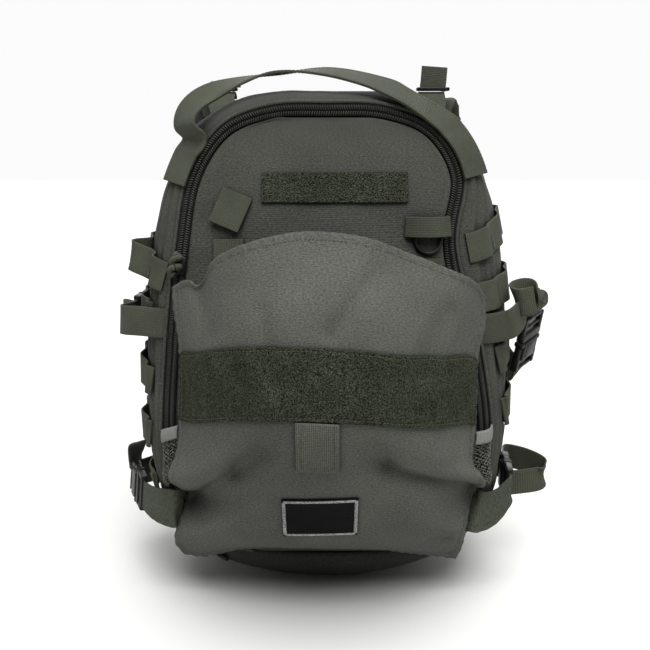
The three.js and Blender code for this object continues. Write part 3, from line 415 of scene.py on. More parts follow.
def smoothRun(stops, stepsEach=8):  # a smooth run through stops that give a place and a width direction
    last = len(stops) - 1
    run = []
    for i in range(last):
        four = [stops[min(max(i + k, 0), last)] for k in (-1, 0, 1, 2)]
        for step in range(stepsEach + (i == last - 1)):
            k = step / stepsEach
            at = throughFour(*(stop["at"] for stop in four), k)
            wide = throughFour(*(stop["wide"].normalized() for stop in four), k)
            width = mixed(four[1].get("width", 0), four[2].get("width", 0), easedStep(k, 0, 1))
            run.append({"at": at, "wide": wide, "width": width})
    for i, row in enumerate(run):
        along = (run[min(i + 1, len(run) - 1)]["at"] - run[max(i - 1, 0)]["at"]).normalized()
        row["wide"] = (row["wide"] - along * row["wide"].dot(along)).normalized()
        row["face"] = row["wide"].cross(along)
    return run


def runLength(run):
    return sum((b["at"] - a["at"]).length for a, b in zip(run, run[1:]))


def bandPiece(name, run, width, thick, material, nodes=(), columns=8):
    def place(u, v):
        row = run[round(v * (len(run) - 1))]
        return row["at"] + row["wide"] * ((u - 0.5) * (row["width"] or width))

    sheet = laidGrid(columns, len(run) - 1, place, (width, runLength(run)))
    piece = newPiece(name, sheet, material, nodes)
    addWall(piece, thick, 0)
    soften = piece.modifiers.new("soft edge", "BEVEL")
    soften.width = 0.35 * mm
    soften.segments = 2
    soften.limit_method = "ANGLE"


def webbingPiece(name, run, *nodes):
    bandPiece(name, run, webbing["width"], webbing["thick"], tapeOlive, nodes)


def tubePiece(name, run, radius, material, nodes=(), closed=False):
    steps = len(run) if closed else len(run) - 1
    sidesRound = 10

    def place(u, v):
        row = run[round(v * steps) % len(run)]
        angle = 2 * math.pi * u
        return row["at"] + row["wide"] * (radius * math.cos(angle)) - row["face"] * (radius * math.sin(angle))

    tube = laidGrid(sidesRound, steps, place, (2 * math.pi * radius, runLength(run)), closed=True)
    closeEnds(tube)
    newPiece(name, tube, material, nodes)


def placedBy(middle, axes, size):
    return Matrix.Translation(middle * mm) @ axes @ Matrix.Diagonal((*(s * mm for s in size), 1))


def axesOf(x, y):  # turn whose first axis is x and whose second is near y
    x = x.normalized()
    y = (y - x * y.dot(x)).normalized()
    return Matrix((x, y, x.cross(y))).transposed().to_4x4()


def addBlock(sheet, middle, size, axes, corner=1.2, segments=3):  # a rounded block, sizes along the axes
    made = bmesh.ops.create_cube(sheet, size=1, matrix=placedBy(middle, axes, size))
    edges = {edge for vert in made["verts"] for edge in vert.link_edges}
    bmesh.ops.bevel(sheet, geom=list(edges), offset=corner * mm, affect="EDGES", segments=segments,
                    profile=0.5, material=-1)


def addStitches(sheet, path, faces, length=2.3, space=1.0, thick=0.6, turn=0.0):  # thread pills along a path
    walked = 0.0
    due = length / 2
    for i in range(len(path) - 1):
        step = (path[i + 1] - path[i]).length
        while walked + step >= due:
            at = path[i].lerp(path[i + 1], (due - walked) / step)
            along = (path[i + 1] - path[i]).normalized()
            across = faces[i].cross(along).normalized()
            turned = along * math.cos(turn) + across * math.sin(turn)
            axes = axesOf(turned, across * math.cos(turn) - along * math.sin(turn))
            bmesh.ops.create_icosphere(sheet, subdivisions=1, radius=1,
                                       matrix=placedBy(at, axes, (length / 2, thick / 2, thick / 2)))
            due += length + space
        walked += step


def stitchPiece(name, lines, slot, material=threadOlive, **how):
    sheet = bmesh.new()
    for path, faces in lines:
        addStitches(sheet, path, faces, **how)
    newPiece(name, sheet, material)


def edgeLines(run, width, across, off, start=0.0, end=1.0):  # sewing lines near both edges, on both faces
    rows = run[round(start * (len(run) - 1)) : round(end * (len(run) - 1)) + 1]
    lines = []
    for edge in (-across / 2, across / 2):
        for face in (1, -1):
            path = [row["at"] + row["wide"] * (edge * (row["width"] or width)) + row["face"] * (face * off)
                    for row in rows]
            lines.append((path, [row["face"] * face for row in rows]))
    return lines


def ripple(point, size, height, seed):  # soft unevenness of cloth
    place = point / size + Vector((seed, seed * 0.7, -seed))
    return (noise.noise(place) + 0.5 * noise.noise(place * 2.1)) * height


# main compartment

gusset = {"around": 300, "deep": 72, "closer": 1.5, "perimeter": 1440, "depth": 190, "sewnIn": 0.08,
          "wrinkle": 1.1, "wrinkleSize": 38, "crest": 0.9, "flatBelow": 0.5, "shadedBaseHalf": 112, "shadedBaseHigh": 70,
          "rowPull": 1.1, "pullWide": 13, "sideFrom": 90, "sideTo": 130,
          "roll": 1.3, "rollCrest": 0.8, "rollWide": 0.05, "rollFrom": 0.02, "rollTo": 0.15}
ladder = {"tacks": (0.1, 0.29, 0.52, 0.75, 0.97), "droopTo": 0.4, "slack": 2.6, "lift": 0.05, "sewnOff": 1.5,
          "steps": 12, "tackIn": 1.5, "tackOff": 0.15, "tackStops": 12}
ladderNames = "z from droop slack"  # height, start, how far the front end droops, slack of the second loop
ladderRows = {
    "left": namedRows(ladderNames, (306, 0.006, 18, 16), (258, 0.06, 6, 4), (206, 0.03, 10, 4),
                      (154, 0.06, 8, 4.5), (103, 0.085, 6, 2.6)),
    "right": namedRows(ladderNames, (330, 0.006, 18, 2.6), (279, 0.006, 8, 3.4), (228, 0.03, 14, 1.2),
                       (177, 0.06, 12, 2.6), (126, 0.32, 10, 2.6)),
}


def rowHeight(row, deep):
    return row["z"] - row["droop"] * (1 - min(deep / ladder["droopTo"], 1)) ** 2


def gussetRelief(deep, around):
    point = bagPoint(around, deep)
    if point.z < gusset["flatBelow"]:
        return 0.0
    free = easedStep(min(deep, 1 - deep), 0, gusset["sewnIn"])
    onSide = easedStep(abs(point.x), gusset["sideFrom"], gusset["sideTo"])
    rows = ladderRows["right" if point.x > 0 else "left"]
    sunk = onSide * sum(hump(point.z, rowHeight(row, deep), gusset["pullWide"]) for row in rows)
    crumple = ripple(Vector((point.x, point.y * 0.6, point.z)), gusset["wrinkleSize"], gusset["wrinkle"], 3.1)
    rolls = gusset["roll"] * math.sin(2 * math.pi * deep / gusset["rollWide"])
    rolls *= onSide * (1 - easedStep(deep, gusset["rollTo"] / 2, gusset["rollTo"]))
    rolls = min(rolls, gusset["rollCrest"]) * easedStep(deep, 0, gusset["rollFrom"])
    return free * (min(crumple, gusset["crest"]) - gusset["rowPull"] * sunk) + rolls


gussetMesh = laidGrid(gusset["deep"], gusset["around"], lambda u, v: bagPoint(v, u ** gusset["closer"]),
                      (gusset["depth"], gusset["perimeter"]),
                      lambda u, v: gussetRelief(u ** gusset["closer"], v), closed=True)
# painted shade: the gusset wears the cloth drawn darker for shade
gussetPiece = newPiece("bag_gusset", gussetMesh, clothInPaintedShade, ["side_gusset"])
# painted shade: base faces under the flap get the nearly black cloth
gussetPiece.data.materials.append(clothBaseInPaintedShade)
for face in gussetPiece.data.polygons:
    if abs(face.center.x) < gusset["shadedBaseHalf"] * mm and face.center.z < gusset["shadedBaseHigh"] * mm:
        face.material_index = 1
addWall(gussetPiece, bag["wall"])


def loopRun(loop, start, end, steps, place):  # along an outline, with the frame that a tube needs
    run = []
    for k in range(steps + 1):
        around = mixed(start, end, k / steps)
        ahead, wide = loopAhead(loop, around), loopOut(loop, around)
        run.append({"at": place(around), "wide": wide, "along": ahead, "face": wide.cross(ahead), "width": 0})
    return run


piping = {"radius": 1.7, "steps": 260, "proud": 1.0, "out": 1.5, "backIn": 2.2, "lowest": 1.8}


def gussetEdge(around):
    return bagPoint(around, 0.0) - Vector((0, piping["proud"], 0)) + loopOut(seamLoop, around) * piping["out"]


def backEdge(around):
    point = bagPoint(around, 1.0) - Vector((0, piping["backIn"], 0))
    point.z = max(point.z, piping["lowest"])
    return point


for name, loop, start, edge in (("gusset_piping", seamLoop, 0.055, gussetEdge),
                                ("back_piping", backLoop, 0.03, backEdge)):
    run = loopRun(loop, start, 1 - start, piping["steps"], edge)
    # painted shade: the piping wears the cloth drawn darker for shade
    tubePiece(name, run, piping["radius"], clothInPaintedShade)

frontPanel = {"columns": 110, "rows": 130, "start": 0.045, "end": 0.462, "zipInset": 11.2, "size": (270, 400),
              "seamX": 97, "seamWide": 1.6, "seamHigh": 0.9, "wrinkleSize": 42, "wrinkle": 1.3, "crest": 0.5}


@functools.lru_cache(maxsize=None)
def panelEnds(v):
    around = mixed(frontPanel["start"], frontPanel["end"], v)
    inset = mixed(gap, frontPanel["zipInset"], easedStep(around, frontPanel["start"], zipper["start"]))
    return seamInset(1 - around, inset), seamInset(around, inset)


def panelPlace(u, v):
    left, right = panelEnds(v)
    point = left.lerp(right, u)
    point.y = panelFace(point.x, point.z)
    return point


def panelRelief(u, v):
    point = panelPlace(u, v)
    edge = min(u, 1 - u, v, 1 - v)
    seam = frontPanel["seamHigh"] * hump(abs(point.x), frontPanel["seamX"], frontPanel["seamWide"])
    flat = Vector((point.x * 0.8, 0, point.z))
    crumple = ripple(flat, frontPanel["wrinkleSize"], frontPanel["wrinkle"], 7.7)
    return easedStep(edge, 0, 0.05) * min(crumple, frontPanel["crest"]) + seam * easedStep(edge, 0, 0.03)


# painted shade: the front panel wears the cloth drawn darker for shade
panelMesh = laidGrid(frontPanel["columns"], frontPanel["rows"], panelPlace, frontPanel["size"], panelRelief)
addWall(newPiece("front_panel_cloth", panelMesh, clothInPaintedShade, ["front_panel"]), panel["wall"])
print("main compartment ready")


# zip

def zipPlace(around):
    at = seamInset(around, gap + zipper["width"] / 2)
    at.y = frontAt(at.z) - zipper["proud"]
    return at


zipTeeth = {"pitch": 2.0, "size": (3.5, 1.1, 2.2), "lean": 0.3, "apart": 2.35, "proud": 0.3, "corner": 0.4,
            "steps": 900, "tape": 1.0, "tapeBehind": 1.0, "tapeWidth": 10.2}
zipRun = loopRun(seamLoop, zipper["start"], zipper["end"], zipTeeth["steps"], zipPlace)
zipTape = [{**row, "at": row["at"] + Vector((0, zipTeeth["tapeBehind"], 0))} for row in zipRun[::3]]
bandPiece("zip_tape", zipTape, zipTeeth["tapeWidth"], zipTeeth["tape"], tapeBlack, columns=4)
teeth = bmesh.new()
walked = 0.0
due = {-1: 0.5 * zipTeeth["pitch"], 1: zipTeeth["pitch"]}
for a, b in zip(zipRun, zipRun[1:]):
    step = (b["at"] - a["at"]).length
    for sign in due:
        if walked + step >= due[sign]:
            place = a["at"].lerp(b["at"], (due[sign] - walked) / step)
            across = a["wide"] * (sign * math.cos(zipTeeth["lean"])) + a["along"] * math.sin(zipTeeth["lean"])
            middle = place + a["wide"] * (sign * zipTeeth["apart"]) - Vector((0, zipTeeth["proud"], 0))
            axes = axesOf(across, a["along"])
            bmesh.ops.create_cube(teeth, size=1, matrix=placedBy(middle, axes, zipTeeth["size"]))
            due[sign] += zipTeeth["pitch"]
    walked += step
bmesh.ops.bevel(teeth, geom=teeth.edges[:], offset=zipTeeth["corner"] * mm, affect="EDGES", segments=1,
                profile=0.5, material=-1)
newPiece("zip_coil", teeth, coilNylon, ["zipper_chain"])

slider = {"at": 0.708, "reach": 0.004, "off": 2.3, "corner": 0.6}
sliderBlocks = namedRows("up out size", (0, 1.0, (9.2, 14.6, 1.8)), (1.2, 2.4, (5.6, 9.0, 1.6)),
                         (-3.4, 3.0, (3.2, 3.0, 1.4)))
sliderUp = zipPlace(slider["at"] + slider["reach"]) - zipPlace(slider["at"] - slider["reach"])
sliderUp.normalize()
sliderWide = loopOut(seamLoop, slider["at"])
sliderWide = (sliderWide - sliderUp * sliderWide.dot(sliderUp)).normalized()
sliderOut = sliderWide.cross(sliderUp)
sliderAt = zipPlace(slider["at"]) + sliderOut * slider["off"]
sliderMesh = bmesh.new()
for row in sliderBlocks:
    middle = sliderAt + sliderUp * row["up"] + sliderOut * row["out"]
    addBlock(sliderMesh, middle, row["size"], axesOf(sliderWide, sliderUp), slider["corner"], segments=2)
newPiece("zip_slider", sliderMesh, acetal, ["zipper_slider"])

pull = {"stops": 18, "turns": 2.2, "radius": 4.2, "tight": 2.2, "cord": 3.0, "out": 4.6, "knot": 2.8,
        "across": 3, "top": 7, "long": 17, "spring": 0.35}
pullStops = []
for k in range(pull["stops"] + 1):
    share = k / pull["stops"]
    angle = 2 * math.pi * pull["turns"] * share
    reach = mixed(pull["radius"], pull["tight"], share)
    out = pull["out"] + pull["knot"] * math.sin(angle * 0.5) ** 2
    across = pull["across"] + reach * math.sin(angle)
    up = pull["top"] - pull["long"] * share + pull["spring"] * reach * math.cos(angle)
    pullStops.append({"at": sliderAt + sliderOut * out + sliderWide * across + sliderUp * up,
                      "wide": sliderWide + sliderUp * 0.3})
pullRun = smoothRun(pullStops, stepsEach=4)
tubePiece("zip_pull_cord", pullRun, pull["cord"], tapeOlive, ["zip_pull"])
print("zip ready")


# front flap

flap = {"wall": 2.0, "round": 2.3, "leastClear": 1.7, "columns": 170, "rows": 160, "size": (350, 330),
        "creaseRound": 0.006, "creaseFade": 0.5, "hem": 9.0, "hemStep": 1.5, "hemThick": 0.5, "seamAt": 6.5,
        "seamWide": 1.2, "seamLift": 0.35, "seamSteps": 90, "pucker": 0.35, "puckerTo": 16,
        "ripple": 0.45, "rippleSize": 26}
flapRows = namedRows(  # side edges and clearance in front of the panel, from hem (0) to top (1)
    "up left right edge centre",
    (0, -126, 114, 9, 1.7),
    (0.05, -133, 118, 12, 30),
    (0.12, -131, 121, 14, 53),
    (0.24, -122, 128, 16, 73),
    (0.32, -135, 136, 19, 87),
    (0.4, -129, 124, 21, 99),
    (0.45, -126, 124, 22, 106),
    (0.55, -124, 125, 23, 113),
    (0.8, -122, 125, 24, 110),
    (0.9, -125, 130, 23, 101),
    (1, -127, 131, 21, 88),
)
flapTop = namedRows("across z", (0, 284), (0.12, 309), (0.25, 327), (0.39, 337), (0.49, 338), (0.61, 333),
                    (0.73, 321), (0.83, 309), (0.95, 292), (1, 276))
flapHem = namedRows("across z", (0, 43), (0.08, 40), (0.2, 46), (0.36, 48), (0.7, 46), (0.86, 42), (1, 39))
flapNotch = {"across": 0.1, "wide": 0.035, "deep": 15, "fade": 9}  # beside the left corner
flapFolds = namedRows(  # creases (deep) and swellings (less than 0), each along a straight line
    "fromU fromV toU toV deep wide under",
    (0.02, 0.235, 0.22, 0.34, 23, 0.11, 0.018),
    (0.24, 0.37, 0.31, 0.43, 10, 0.045),
    (0, 0.33, 0.17, 0.4, -5, 0.055),
    (0.05, 0.12, 0.22, 0.2, -8, 0.07),
    (0.98, 0.27, 0.7, 0.4, 23, 0.11, 0.018),
    (0.68, 0.41, 0.63, 0.45, 7, 0.045),
    (0.94, 0.1, 0.87, 0.115, 6, 0.03, 0.012),
    (0.64, 0.93, 0.51, 0.76, 3.5, 0.03),
    (0.86, 0.88, 0.77, 0.68, 4, 0.035),
    (0.3, 0.82, 0.34, 0.64, 3, 0.03),
    (1, 0.36, 0.8, 0.45, -5, 0.055),
    (0.95, 0.13, 0.78, 0.22, -8, 0.07),
    (0.1, 0.97, 0.13, 0.8, 7, 0.04),
)


@functools.lru_cache(maxsize=None)
def flapLevel(v):
    return [tableAt(flapRows, "up", column, v) for column in ("left", "right", "edge", "centre")]


@functools.lru_cache(maxsize=None)
def flapColumn(u):
    return tableAt(flapHem, "across", "z", u), tableAt(flapTop, "across", "z", u)


def foldDepth(fold, u, v):
    runU, runV = fold["toU"] - fold["fromU"], fold["toV"] - fold["fromV"]
    k = ((u - fold["fromU"]) * runU + (v - fold["fromV"]) * runV) / (runU**2 + runV**2)
    k = min(max(k, 0), 1)
    awayU, awayV = u - fold["fromU"] - k * runU, v - fold["fromV"] - k * runV
    away = math.hypot(awayU, awayV)
    if "under" not in fold:
        return fold["deep"] * hump(away, 0, fold["wide"])
    # the cloth above hangs over the crease
    rise = (runU * awayV - runV * awayU) * math.copysign(1, runU) / math.hypot(runU, runV)
    reach = mixed(fold["wide"], fold["under"], 0.5 + 0.5 * rise / max(away, 1e-6))
    away = math.hypot(away, flap["creaseRound"]) - flap["creaseRound"]
    return fold["deep"] * (1 - flap["creaseFade"] * k) * math.exp(-away / reach)


def flapPoint(u, v):
    left, right, edge, centre = flapLevel(v)
    hem, top = flapColumn(u)
    x = mixed(left, right, u)
    notch = flapNotch["deep"] * hump(u, flapNotch["across"], flapNotch["wide"])
    z = mixed(hem, top - notch * v ** flapNotch["fade"], v) if v > 0 else hem
    clear = mixed(centre, edge, abs(2 * u - 1) ** flap["round"])
    for fold in flapFolds:
        clear -= foldDepth(fold, u, v)
    return Vector((x, panelFace(x, z) - max(clear, flap["leastClear"]), z))


def flapFace(u, v):
    step = 0.004
    across = flapPoint(u + step, v) - flapPoint(u - step, v)
    up = flapPoint(u, v + step) - flapPoint(u, max(v - step, 0))
    return across.cross(up).normalized()


def flapOff(u, v, lift):
    return flapPoint(u, v) + flapFace(u, v) * lift


def edgeOf(u, v, size):
    return min(min(u, 1 - u) * size[0], min(v, 1 - v) * size[1])


def flapRelief(u, v):
    edge = edgeOf(u, v, flap["size"])
    hem = flap["hemThick"] * (1 - easedStep(edge, flap["hem"] - flap["hemStep"], flap["hem"]))
    seam = flap["hemThick"] * hump(edge, flap["seamAt"], flap["seamWide"])
    pucker = flap["pucker"] * math.sin(u * 190 + v * 170) * (1 - easedStep(edge, 2, flap["puckerTo"]))
    crumple = ripple(Vector((u * 330, v * 300, 0)), flap["rippleSize"], flap["ripple"], 1.3)
    return hem - seam + pucker + crumple


flapMesh = laidGrid(flap["columns"], flap["rows"], flapPoint, flap["size"], flapRelief)
flapPiece = newPiece("flap_cloth", flapMesh, clothMain, ["front_flap"])
addWall(flapPiece, flap["wall"])


def sewnLines(place, lift, corners, steps):  # from corner to corner, on a piece that lies on the flap
    lines = []
    for a, b in zip(corners, corners[1:]):
        spots = [place(mixed(a[0], b[0], k / steps), mixed(a[1], b[1], k / steps)) for k in range(steps + 1)]
        lines.append(([flapOff(u, v, lift) for u, v in spots], [flapFace(u, v) for u, v in spots]))
    return lines


def boxCorners(inU, inV):
    return [(inU, inV), (1 - inU, inV), (1 - inU, 1 - inV), (inU, 1 - inV), (inU, inV)]


hemBox = boxCorners(flap["seamAt"] / flap["size"][0], flap["seamAt"] / flap["size"][1])
hemLines = sewnLines(lambda u, v: (u, v), flap["seamLift"], hemBox, flap["seamSteps"])
stitchPiece("flap_stitching", hemLines, "cloth", length=2.0, thick=0.5)

loopBand = {"low": 0.54, "high": 0.725, "highRise": 0.055, "thick": 1.4, "top": 2.3, "edge": 0.012,
            "columns": 260, "rows": 64, "size": (330, 70), "pile": 0.5, "tufts": (300, 64), "stray": 0.2,
            "sewnIn": 3, "sunk": 0.5, "seamWide": 1.2, "seam": (0.01, 0.045), "seamLift": 2.1,
            "seamSteps": 100}


def loopPlace(i, j):
    u = mixed(loopBand["edge"], 1 - loopBand["edge"], i)
    high = loopBand["high"] + loopBand["highRise"] * (2 * u - 1) ** 2
    return u, mixed(loopBand["low"], high, j)


def loopRelief(i, j):
    edge = edgeOf(i, j, loopBand["size"])
    tuft = noise.noise(Vector((i * loopBand["tufts"][0], j * loopBand["tufts"][1], 0.5))) * loopBand["pile"]
    stray = random.uniform(-loopBand["stray"], loopBand["stray"])
    seam = loopBand["sunk"] * hump(edge, loopBand["sewnIn"], loopBand["seamWide"])
    return (tuft + stray) * easedStep(edge, 0, 4) - seam


loopMesh = laidGrid(loopBand["columns"], loopBand["rows"],
                    lambda i, j: flapOff(*loopPlace(i, j), loopBand["top"]), loopBand["size"], loopRelief)
addWall(newPiece("loop_pile_panel", loopMesh, loopGreen, ["loop_panel"]), loopBand["thick"])

flapTab = {"x": -7, "size": (32, 42), "low": 0.387, "under": 0.004, "thick": 2.6, "top": 3.2,
           "cells": (36, 44), "sunk": 0.35, "sewnIn": 4, "seamWide": 0.9, "edgeSunk": 0.5, "edgeRound": 1.2,
           "seam": [(0.13, 0.98), (0.13, 0.1), (0.87, 0.1), (0.87, 0.98)], "seamSteps": 24}
patch = {"x": -5.5, "size": (60, 38), "low": 0.143, "high": 0.285, "thick": 1.2, "top": 1.8, "tilt": 0.008,
         "cells": (40, 28), "rim": (0.028, 0.0476), "rimLift": 1.9, "rimSteps": 30}


def acrossAt(x, v):
    left, right = flapLevel(v)[:2]
    return (x - left) / (right - left)


def tabPlace(i, j):
    v = mixed(flapTab["low"], loopBand["low"] - flapTab["under"], j)
    return acrossAt(flapTab["x"] + flapTab["size"][0] * (i - 0.5), v), v


def tabRelief(i, j):
    edge = min(min(i, 1 - i) * flapTab["size"][0], j * flapTab["size"][1])
    seam = flapTab["sunk"] * hump(edge, flapTab["sewnIn"], flapTab["seamWide"])
    return -seam - flapTab["edgeSunk"] * (1 - easedStep(edge, 0, flapTab["edgeRound"]))


def patchPlace(i, j):
    v = mixed(patch["low"], patch["high"], j) + patch["tilt"] * (2 * i - 1)
    return acrossAt(patch["x"] + patch["size"][0] * (i - 0.5), v), v


tabMesh = laidGrid(*flapTab["cells"], lambda i, j: flapOff(*tabPlace(i, j), flapTab["top"]), flapTab["size"],
                   tabRelief)
addWall(newPiece("flap_tab_webbing", tabMesh, tapeHeather, ["flap_tab"]), flapTab["thick"])
tabSeam = sewnLines(tabPlace, flapTab["top"], flapTab["seam"], flapTab["seamSteps"])
stitchPiece("flap_tab_stitching", tabSeam, "webbing")
loopSeam = sewnLines(loopPlace, loopBand["seamLift"], boxCorners(*loopBand["seam"]), loopBand["seamSteps"])
stitchPiece("loop_panel_stitching", loopSeam, "loop_cloth")
patchMesh = laidGrid(*patch["cells"], lambda i, j: flapOff(*patchPlace(i, j), patch["top"]), patch["size"])
addWall(newPiece("patch_field", patchMesh, patchTwill, ["patch"]), patch["thick"])
rimLines = sewnLines(patchPlace, patch["rimLift"], boxCorners(*patch["rim"]), patch["rimSteps"])
stitchPiece("patch_border", rimLines, "patch_cloth", threadGrey, length=3.6, space=-2.5, thick=1.5, turn=1.25)
print("front flap ready")


# mesh gussets beside the foot of the flap

# the cells are drawn coarser than a real net's
net = {"low": 0.3, "high": 0.465, "swell": 5, "inward": 2, "seamOff": 0.45, "dropLeft": 12, "cells": (5, 12),
       "size": (30, 40), "thread": 0.9, "lift": 0.5}
netBinding = {"low": 0.467, "high": 0.515, "wall": 1.6, "cells": (14, 8), "size": (30, 12), "lift": 0.8,
              "round": 0.5}


def netPlace(sign, k, v, lift):
    edge = flapPoint(1 if sign > 0 else 0, v) + Vector((sign * gap, net["inward"], 0))
    height = edge.z - (0 if sign > 0 else net["dropLeft"])
    seam = sidePlace(sign, 0, height)["at"] + Vector((sign * net["seamOff"], -net["seamOff"], 0))
    out = Vector((sign * 0.8, -0.6, 0))
    return edge.lerp(seam, k) + out * (math.sin(math.pi * k) * net["swell"] + lift)


for side, sign in sides.items():
    def netSpot(u, v):
        return netPlace(sign, u, mixed(net["low"], net["high"], v), net["lift"])

    def bindingSpot(u, v):
        lift = netBinding["lift"] + netBinding["round"] * math.sin(math.pi * v)
        return netPlace(sign, u, mixed(netBinding["low"], netBinding["high"], v), lift)

    netMesh = laidGrid(*net["cells"], netSpot, net["size"])
    centres = set(bmesh.ops.poke(netMesh, faces=netMesh.faces)["verts"])
    square = [edge for edge in netMesh.edges if not edge.is_boundary and centres.isdisjoint(edge.verts)]
    bmesh.ops.dissolve_edges(netMesh, edges=square)
    netPiece = newPiece(f"net_gusset_{side}", netMesh, netThread, [f"mesh_gusset_{side}"])
    wires = netPiece.modifiers.new("net", "WIREFRAME")
    wires.thickness = net["thread"] * mm
    wires.use_even_offset = False
    tape = laidGrid(*netBinding["cells"], bindingSpot, netBinding["size"])
    bindingPiece = newPiece(f"net_binding_{side}", tape, tapePale, [f"mesh_binding_{side}"])
    addWall(bindingPiece, netBinding["wall"], 0)
print("mesh gussets ready")


# webbing on the sides

def ladderRun(side, row):
    tacks = [row["from"], *(tack for tack in ladder["tacks"] if tack > row["from"])]
    stops = []
    for k in range((len(tacks) - 1) * ladder["steps"] + 1):
        place = k / ladder["steps"]
        loop = min(int(place), len(tacks) - 2)
        share = place - loop
        slack = row["slack"] if loop == 1 else ladder["slack"]
        deep = mixed(tacks[loop], tacks[loop + 1], share)
        lift = ladder["lift"] * row["slack"] * max(1 - abs(place - 1), 0)
        off = ladder["sewnOff"] + lift + slack * math.sin(math.pi * share) ** 2
        stops.append(sidePlace(sides[side], deep, rowHeight(row, deep), off))
    return smoothRun(stops, stepsEach=1)


for side, sign in sides.items():
    tackLines = []
    for number, row in enumerate(ladderRows[side], 1):
        run = ladderRun(side, row)
        webbingPiece(f"ladder_webbing_{side}_{number}", run, f"ladder_{side}_{number}")
        for place in range(ladder["steps"], len(run), ladder["steps"]):
            spot = run[min(place, len(run) - 2)]
            out = spot["face"] if spot["face"].x * sign > 0 else -spot["face"]
            half = spot["wide"] * (webbing["width"] / 2 - ladder["tackIn"])
            middle = spot["at"] + out * (webbing["thick"] / 2 + ladder["tackOff"])
            stops = range(ladder["tackStops"] + 1)
            tackLines.append(([middle + half * (2 * k / ladder["tackStops"] - 1) for k in stops],
                              [out for _ in stops]))
    stitchPiece(f"ladder_tacks_{side}", tackLines, "webbing", length=2.6, space=-1.3, thick=0.9, turn=1.15)
print("side webbing ready")


# side-release buckles

blockNames = "along across out size corner segments"  # blocks that lie across are on both sides
buckle = {
    "socketReach": 30.8, "plugReach": 24.8,
    "socket": namedRows(
        blockNames,
        (9.7, 0, 0, (19, 24, 10), 1.6, 3), (9.7, 0, 4.4, (14, 17, 2), 0.9, 2),
        (2.6, 12.5, 0, (4.8, 8, 8.6), 1.4, 3), (22.6, 14.3, 0, (15, 4.4, 7), 1.4, 3),
        (19.5, 0, 0, (3.4, 29, 5.5), 1.2, 3), (28.2, 0, 0, (3.6, 29, 5.5), 1.2, 3)),
    "plug": namedRows(
        blockNames,
        (-4.6, 0, 0, (8.8, 32, 7.5), 1.6, 3), (-14, 14.5, 0, (20, 4, 6.375), 1.4, 3),
        (11.4, 14.1, 0, (11.6, 4.4, 6), 1.5, 3), (-22.4, 0, 0, (3.4, 29, 5.625), 1.2, 3),
        (-14, 0, 0, (3, 28, 4.5), 1.0, 3)),
}


def bucklePiece(name, at, along, wide):
    axes = axesOf(along, wide)
    x, y, z = axes.to_3x3().transposed()
    for half in ("socket", "plug"):
        sheet = bmesh.new()
        for row in buckle[half]:
            for sign in (-1, 1) if row["across"] else (1,):
                middle = at + x * row["along"] + y * (sign * row["across"]) + z * row["out"]
                addBlock(sheet, middle, row["size"], axes, row["corner"], row["segments"])
        newPiece(f"{name}_{half}_moulding", sheet, acetal, [f"{name}_{half}"])
    return {"x": x, "y": y, "z": z, "socketEnd": at + x * buckle["socketReach"],
            "plugEnd": at - x * buckle["plugReach"]}


def stop(x, y, z, wide=(0, 0, 1)):
    return {"at": Vector((x, y, z)), "wide": Vector(wide)}


def sideStops(sign, rows):  # each row is how deep, how high and how far off the side
    return [sidePlace(sign, deep, z, off + webbing["thick"] / 2) for deep, z, off in rows]


flung = (0.36, 0, -0.93)
compression = {
    "upper_left": {
        "at": (-176, 14, 243), "along": (0.03, 1, -0.05), "wide": (0.12, 0, 1),
        "front": [(0.012, 250, 1), (0.06, 250, 10), (0.13, 248, 19), (0.22, 246, 22)],
        "intoPlug": [(-11, 0), (-6, 0), (0, 0)], "outOfPlug": [(-7.5, 0)],
        "back": [(0.86, 236, 5.6), (0.97, 234, 4.9)],
        "tail": [stop(-187, -6, 244), stop(-190, 14, 241), stop(-186, 38, 234)],
    },
    "upper_right": {
        "at": (180.5, -36, 227.5), "along": (-0.1, 0.3, -0.945), "wide": (0.6, 0.8, 0),
        "front": [(0.012, 245, 1), (0.05, 246, 8), (0.09, 249, 14)],
        "intoPlug": [(-11, -4), (-6, -2), (0, 0)], "outOfPlug": [(-1, 0.9), (-7, 5)],
        "turn": [stop(175, -20, 192, (0.5, 0.7, 0.5)), stop(170, -6, 196, (0.15, 0.2, 0.95))],
        "back": [(0.72, 208, 6.6), (0.86, 212, 6), (0.97, 216, 5.5)],
        "tail": [stop(183, -55, 266, (0.6, 0.5, -0.6)), stop(175, -54, 272, (0.42, 0.15, -0.9)),
                 stop(165, -58, 271, flung), stop(162, -65, 268, flung), stop(167, -71, 266, flung),
                 stop(178, -72, 268, flung)],
    },
    "lower_left": {
        "at": (-176, -26, 82), "along": (-0.33, 0.94, -0.04), "wide": (0.1, 0, 1),
        "back": [(0.84, 78, 4), (0.97, 76, 1)],
        "tail": [stop(-188, 19, 85, (0.1, 0.3, 1)), stop(-187, 16, 95, (0.4, 0.7, 0.6)),
                 stop(-184, 10, 108, (0.6, 0.8, 0.2)), stop(-180, 4, 115, (0.65, 0.75, 0)),
                 stop(-174, -1, 118, (0.65, 0.75, 0))],
    },
    "lower_right": {
        "at": (165.5, -40, 95), "along": (0.08, 1, -0.02), "wide": (0.05, 0, 1),
        "back": [(0.84, 84, 4), (0.97, 82, 0.5)],
        "tail": [stop(176, 28, 92), stop(190, 22, 92), stop(203, 11, 90), stop(209, 4, 86), stop(204, -3, 80),
                 stop(171, -7, 77)],
    },
}
straight = {"strap": 5, "tail": 4.4}
tuck = {"across": 8, "ahead": 0.6}  # the front straps end behind the flap
wing = {"low": 0.12, "high": 0.262, "out": 4.9, "ahead": 1.5, "tuckAcross": 1.5, "tuckBack": 2.8,
        "thick": 2.0, "bendDeep": 0.03, "bendOff": 14, "steps": 5}


